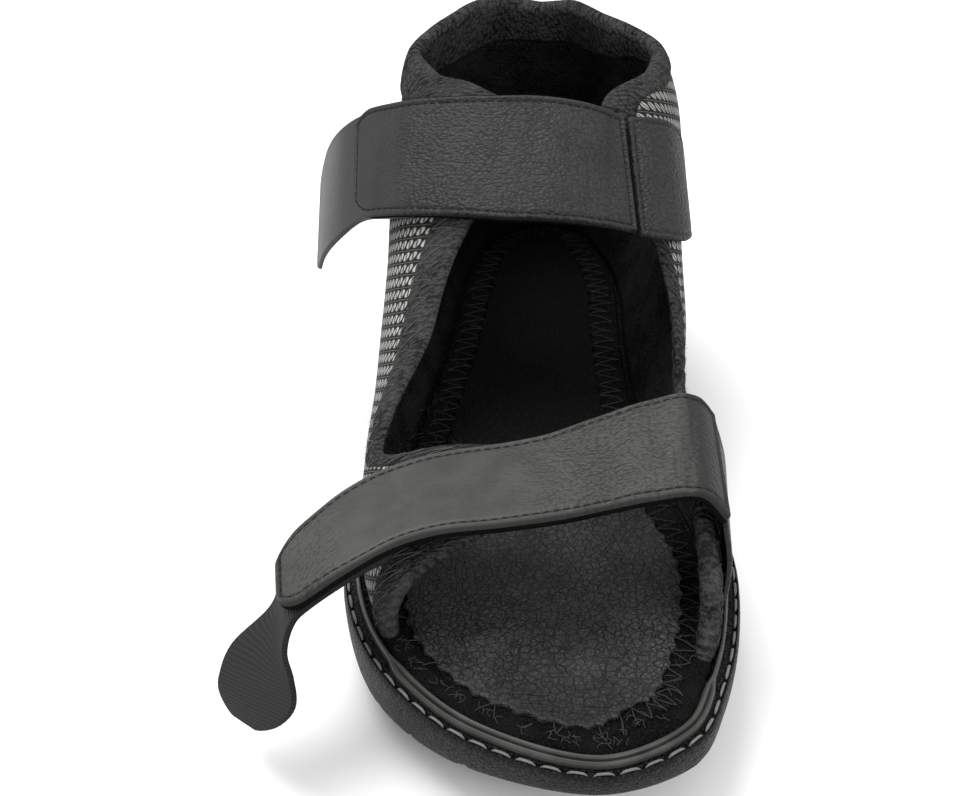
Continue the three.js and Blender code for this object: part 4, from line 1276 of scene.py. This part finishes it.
# Stitches inside the rim of a band: along its high edge, round its far end and back along its low edge
def rimStitches(name, place, outer):
    fromEnd = strap["seamAt"] / place.total
    s = np.linspace(fromEnd, 1 - fromEnd, 400)
    share = strap["seamAt"] / widthAt(place, s)
    endShare = share[-1] + np.linspace(0, 1, 60)[1:-1] * (1 - 2 * share[-1])
    s = np.concatenate([s, np.full(len(endShare), 1 - fromEnd), s[::-1]])
    v = np.concatenate([share, endShare, 1 - share[::-1]])
    normals = normalAt(place, s, v)
    line = place(s, v) + normals * outer(s, v)[:, None]
    here, along, up = stepsAlong(line, strap["pitch"], strap["pitch"] / 2, (normals,))
    made = threadMesh(name, here, along, unit(up), strap["pitch"] * 0.8, strap["radius"],
                      finishes["darkThread"], 0.3)


def buildPatch(name, node, rows, radii):
    place = bandSurface(rows, *radii)
    half = shoe["leather"] / 2

    def outer(s, v):
        d = edgeDistance(place, s, v)
        return half * (2 * roundEdge(d, patch["rim"]) - 1) - patch["seam"] * bell(d, strap["seamAt"], 0.4)

    made = skinMesh(name, place, crowded(patch["along"], 0.7), crowded(patch["across"], 0.7), outer,
                    level(-half), finishes["patch"], bandLayers(place))
    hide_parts(node)

    def flipped(s, v):
        return place(1 - s, v)

    flipped.total = place.total
    rimStitches(name + "Stitches", flipped, lambda s, v: outer(1 - s, v))


def buildTape(name, node, rows, radii, finish):
    place = bandSurface(rows, *radii)
    half = shoe["tape"] / 2

    def outer(s, v):
        wave = tape["wave"] * np.sin(s * place.total / tape["waveLength"])
        return half * roundEdge(edgeDistance(place, s, v), tape["rim"]) + wave

    made = skinMesh(name, place, crowded(tape["along"], 0.6), crowded(tape["across"], 0.6), outer,
                    level(-half), finishes[finish], bandLayers(place))
    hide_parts(node)


buildSole()
buildWelt()
buildFringe()
buildFootbed()
buildMarginThreads()
buildMarginFlecks()
buildMarginFibres()
print("base built")
buildUpper()
buildBinding()
bindingZigzag("bindingZigzagOut", 1, 0.2, 0.72, "vee")
bindingZigzag("bindingZigzagIn", -1, 0.2, 0.75, "seam")
bindingFuzz()
buildPanel()
print("upper built")
buildPatch("anklePatch", "ankle_patch", anklePatchTable, (9, 1))
buildPatch("forefootPatch", "forefoot_patch", forefootPatchTable, (6, 1))
buildStrap("ankleStrap", "ankle_strap", ankleStrapTable, (1, 9), "ankle", "strap")
buildStrap("forefootStrap", "forefoot_strap", forefootStrapTable, (1, 9), "forefoot", "oliveStrap")
buildTape("ankleTape", "ankle_tape", tapeRows(ankleStrapTable, 5, ankleTailTable), (2, 5), "smoothTape")
buildTape("forefootTape", "forefoot_tape", tapeRows(forefootStrapTable, 7, forefootTailTable, 1), (2, 12),
          "ribbedTape")
print("straps built")


# Floor, light and camera, in metres
lamps = [("topSoft", (-0.35, 0.1, 1.1), 0.7, 11.0), ("frontSoft", (0.5, -0.9, 0.8), 0.6, 5.0)]
camera = {"place": (-0.0139, -0.3688, 0.2895), "pitch": 34.73, "yaw": 1.5, "lens": 56.25,
          "shift": (-0.0524, 0.0127)}


def buildStage():
    bpy.ops.mesh.primitive_plane_add(size=4, location=(0, 0, -0.0004))
    floor = bpy.context.object
    floor.name = "floor"
    b = Board("paleFloor", Specular_IOR_Level=0.1)
    floor.data.materials.append(b.finish(0.86, 0.9))
    bpy.context.scene.view_settings.view_transform = "Standard"
    world = bpy.data.worlds.new("studio")
    bpy.context.scene.world = world
    world.use_nodes = True
    sky = world.node_tree.nodes["Background"]
    sky.inputs["Color"].default_value = (1, 1, 1, 1)
    sky.inputs["Strength"].default_value = 1.0
    for name, place, size, power in lamps:
        data = bpy.data.lights.new(name, "AREA")
        data.shape = "DISK"
        data.size = size
        data.energy = power
        lamp = bpy.data.objects.new(name, data)
        bpy.context.scene.collection.objects.link(lamp)
        lamp.location = place
        x, y, z = -np.array(place)
        lamp.rotation_euler = (math.atan2(math.hypot(x, y), -z), 0, math.atan2(x, -y) + math.pi)


def buildCamera():
    data = bpy.data.cameras.new("camera")
    data.sensor_width = 36
    data.lens = camera["lens"]
    data.shift_x, data.shift_y = camera["shift"]
    data.clip_start, data.clip_end = 0.01, 20
    made = bpy.data.objects.new("camera", data)
    bpy.context.scene.collection.objects.link(made)
    made.location = camera["place"]
    made.rotation_euler = (math.radians(90 - camera["pitch"]), 0, math.radians(-camera["yaw"]))
    bpy.context.scene.camera = made


buildStage()
buildCamera()
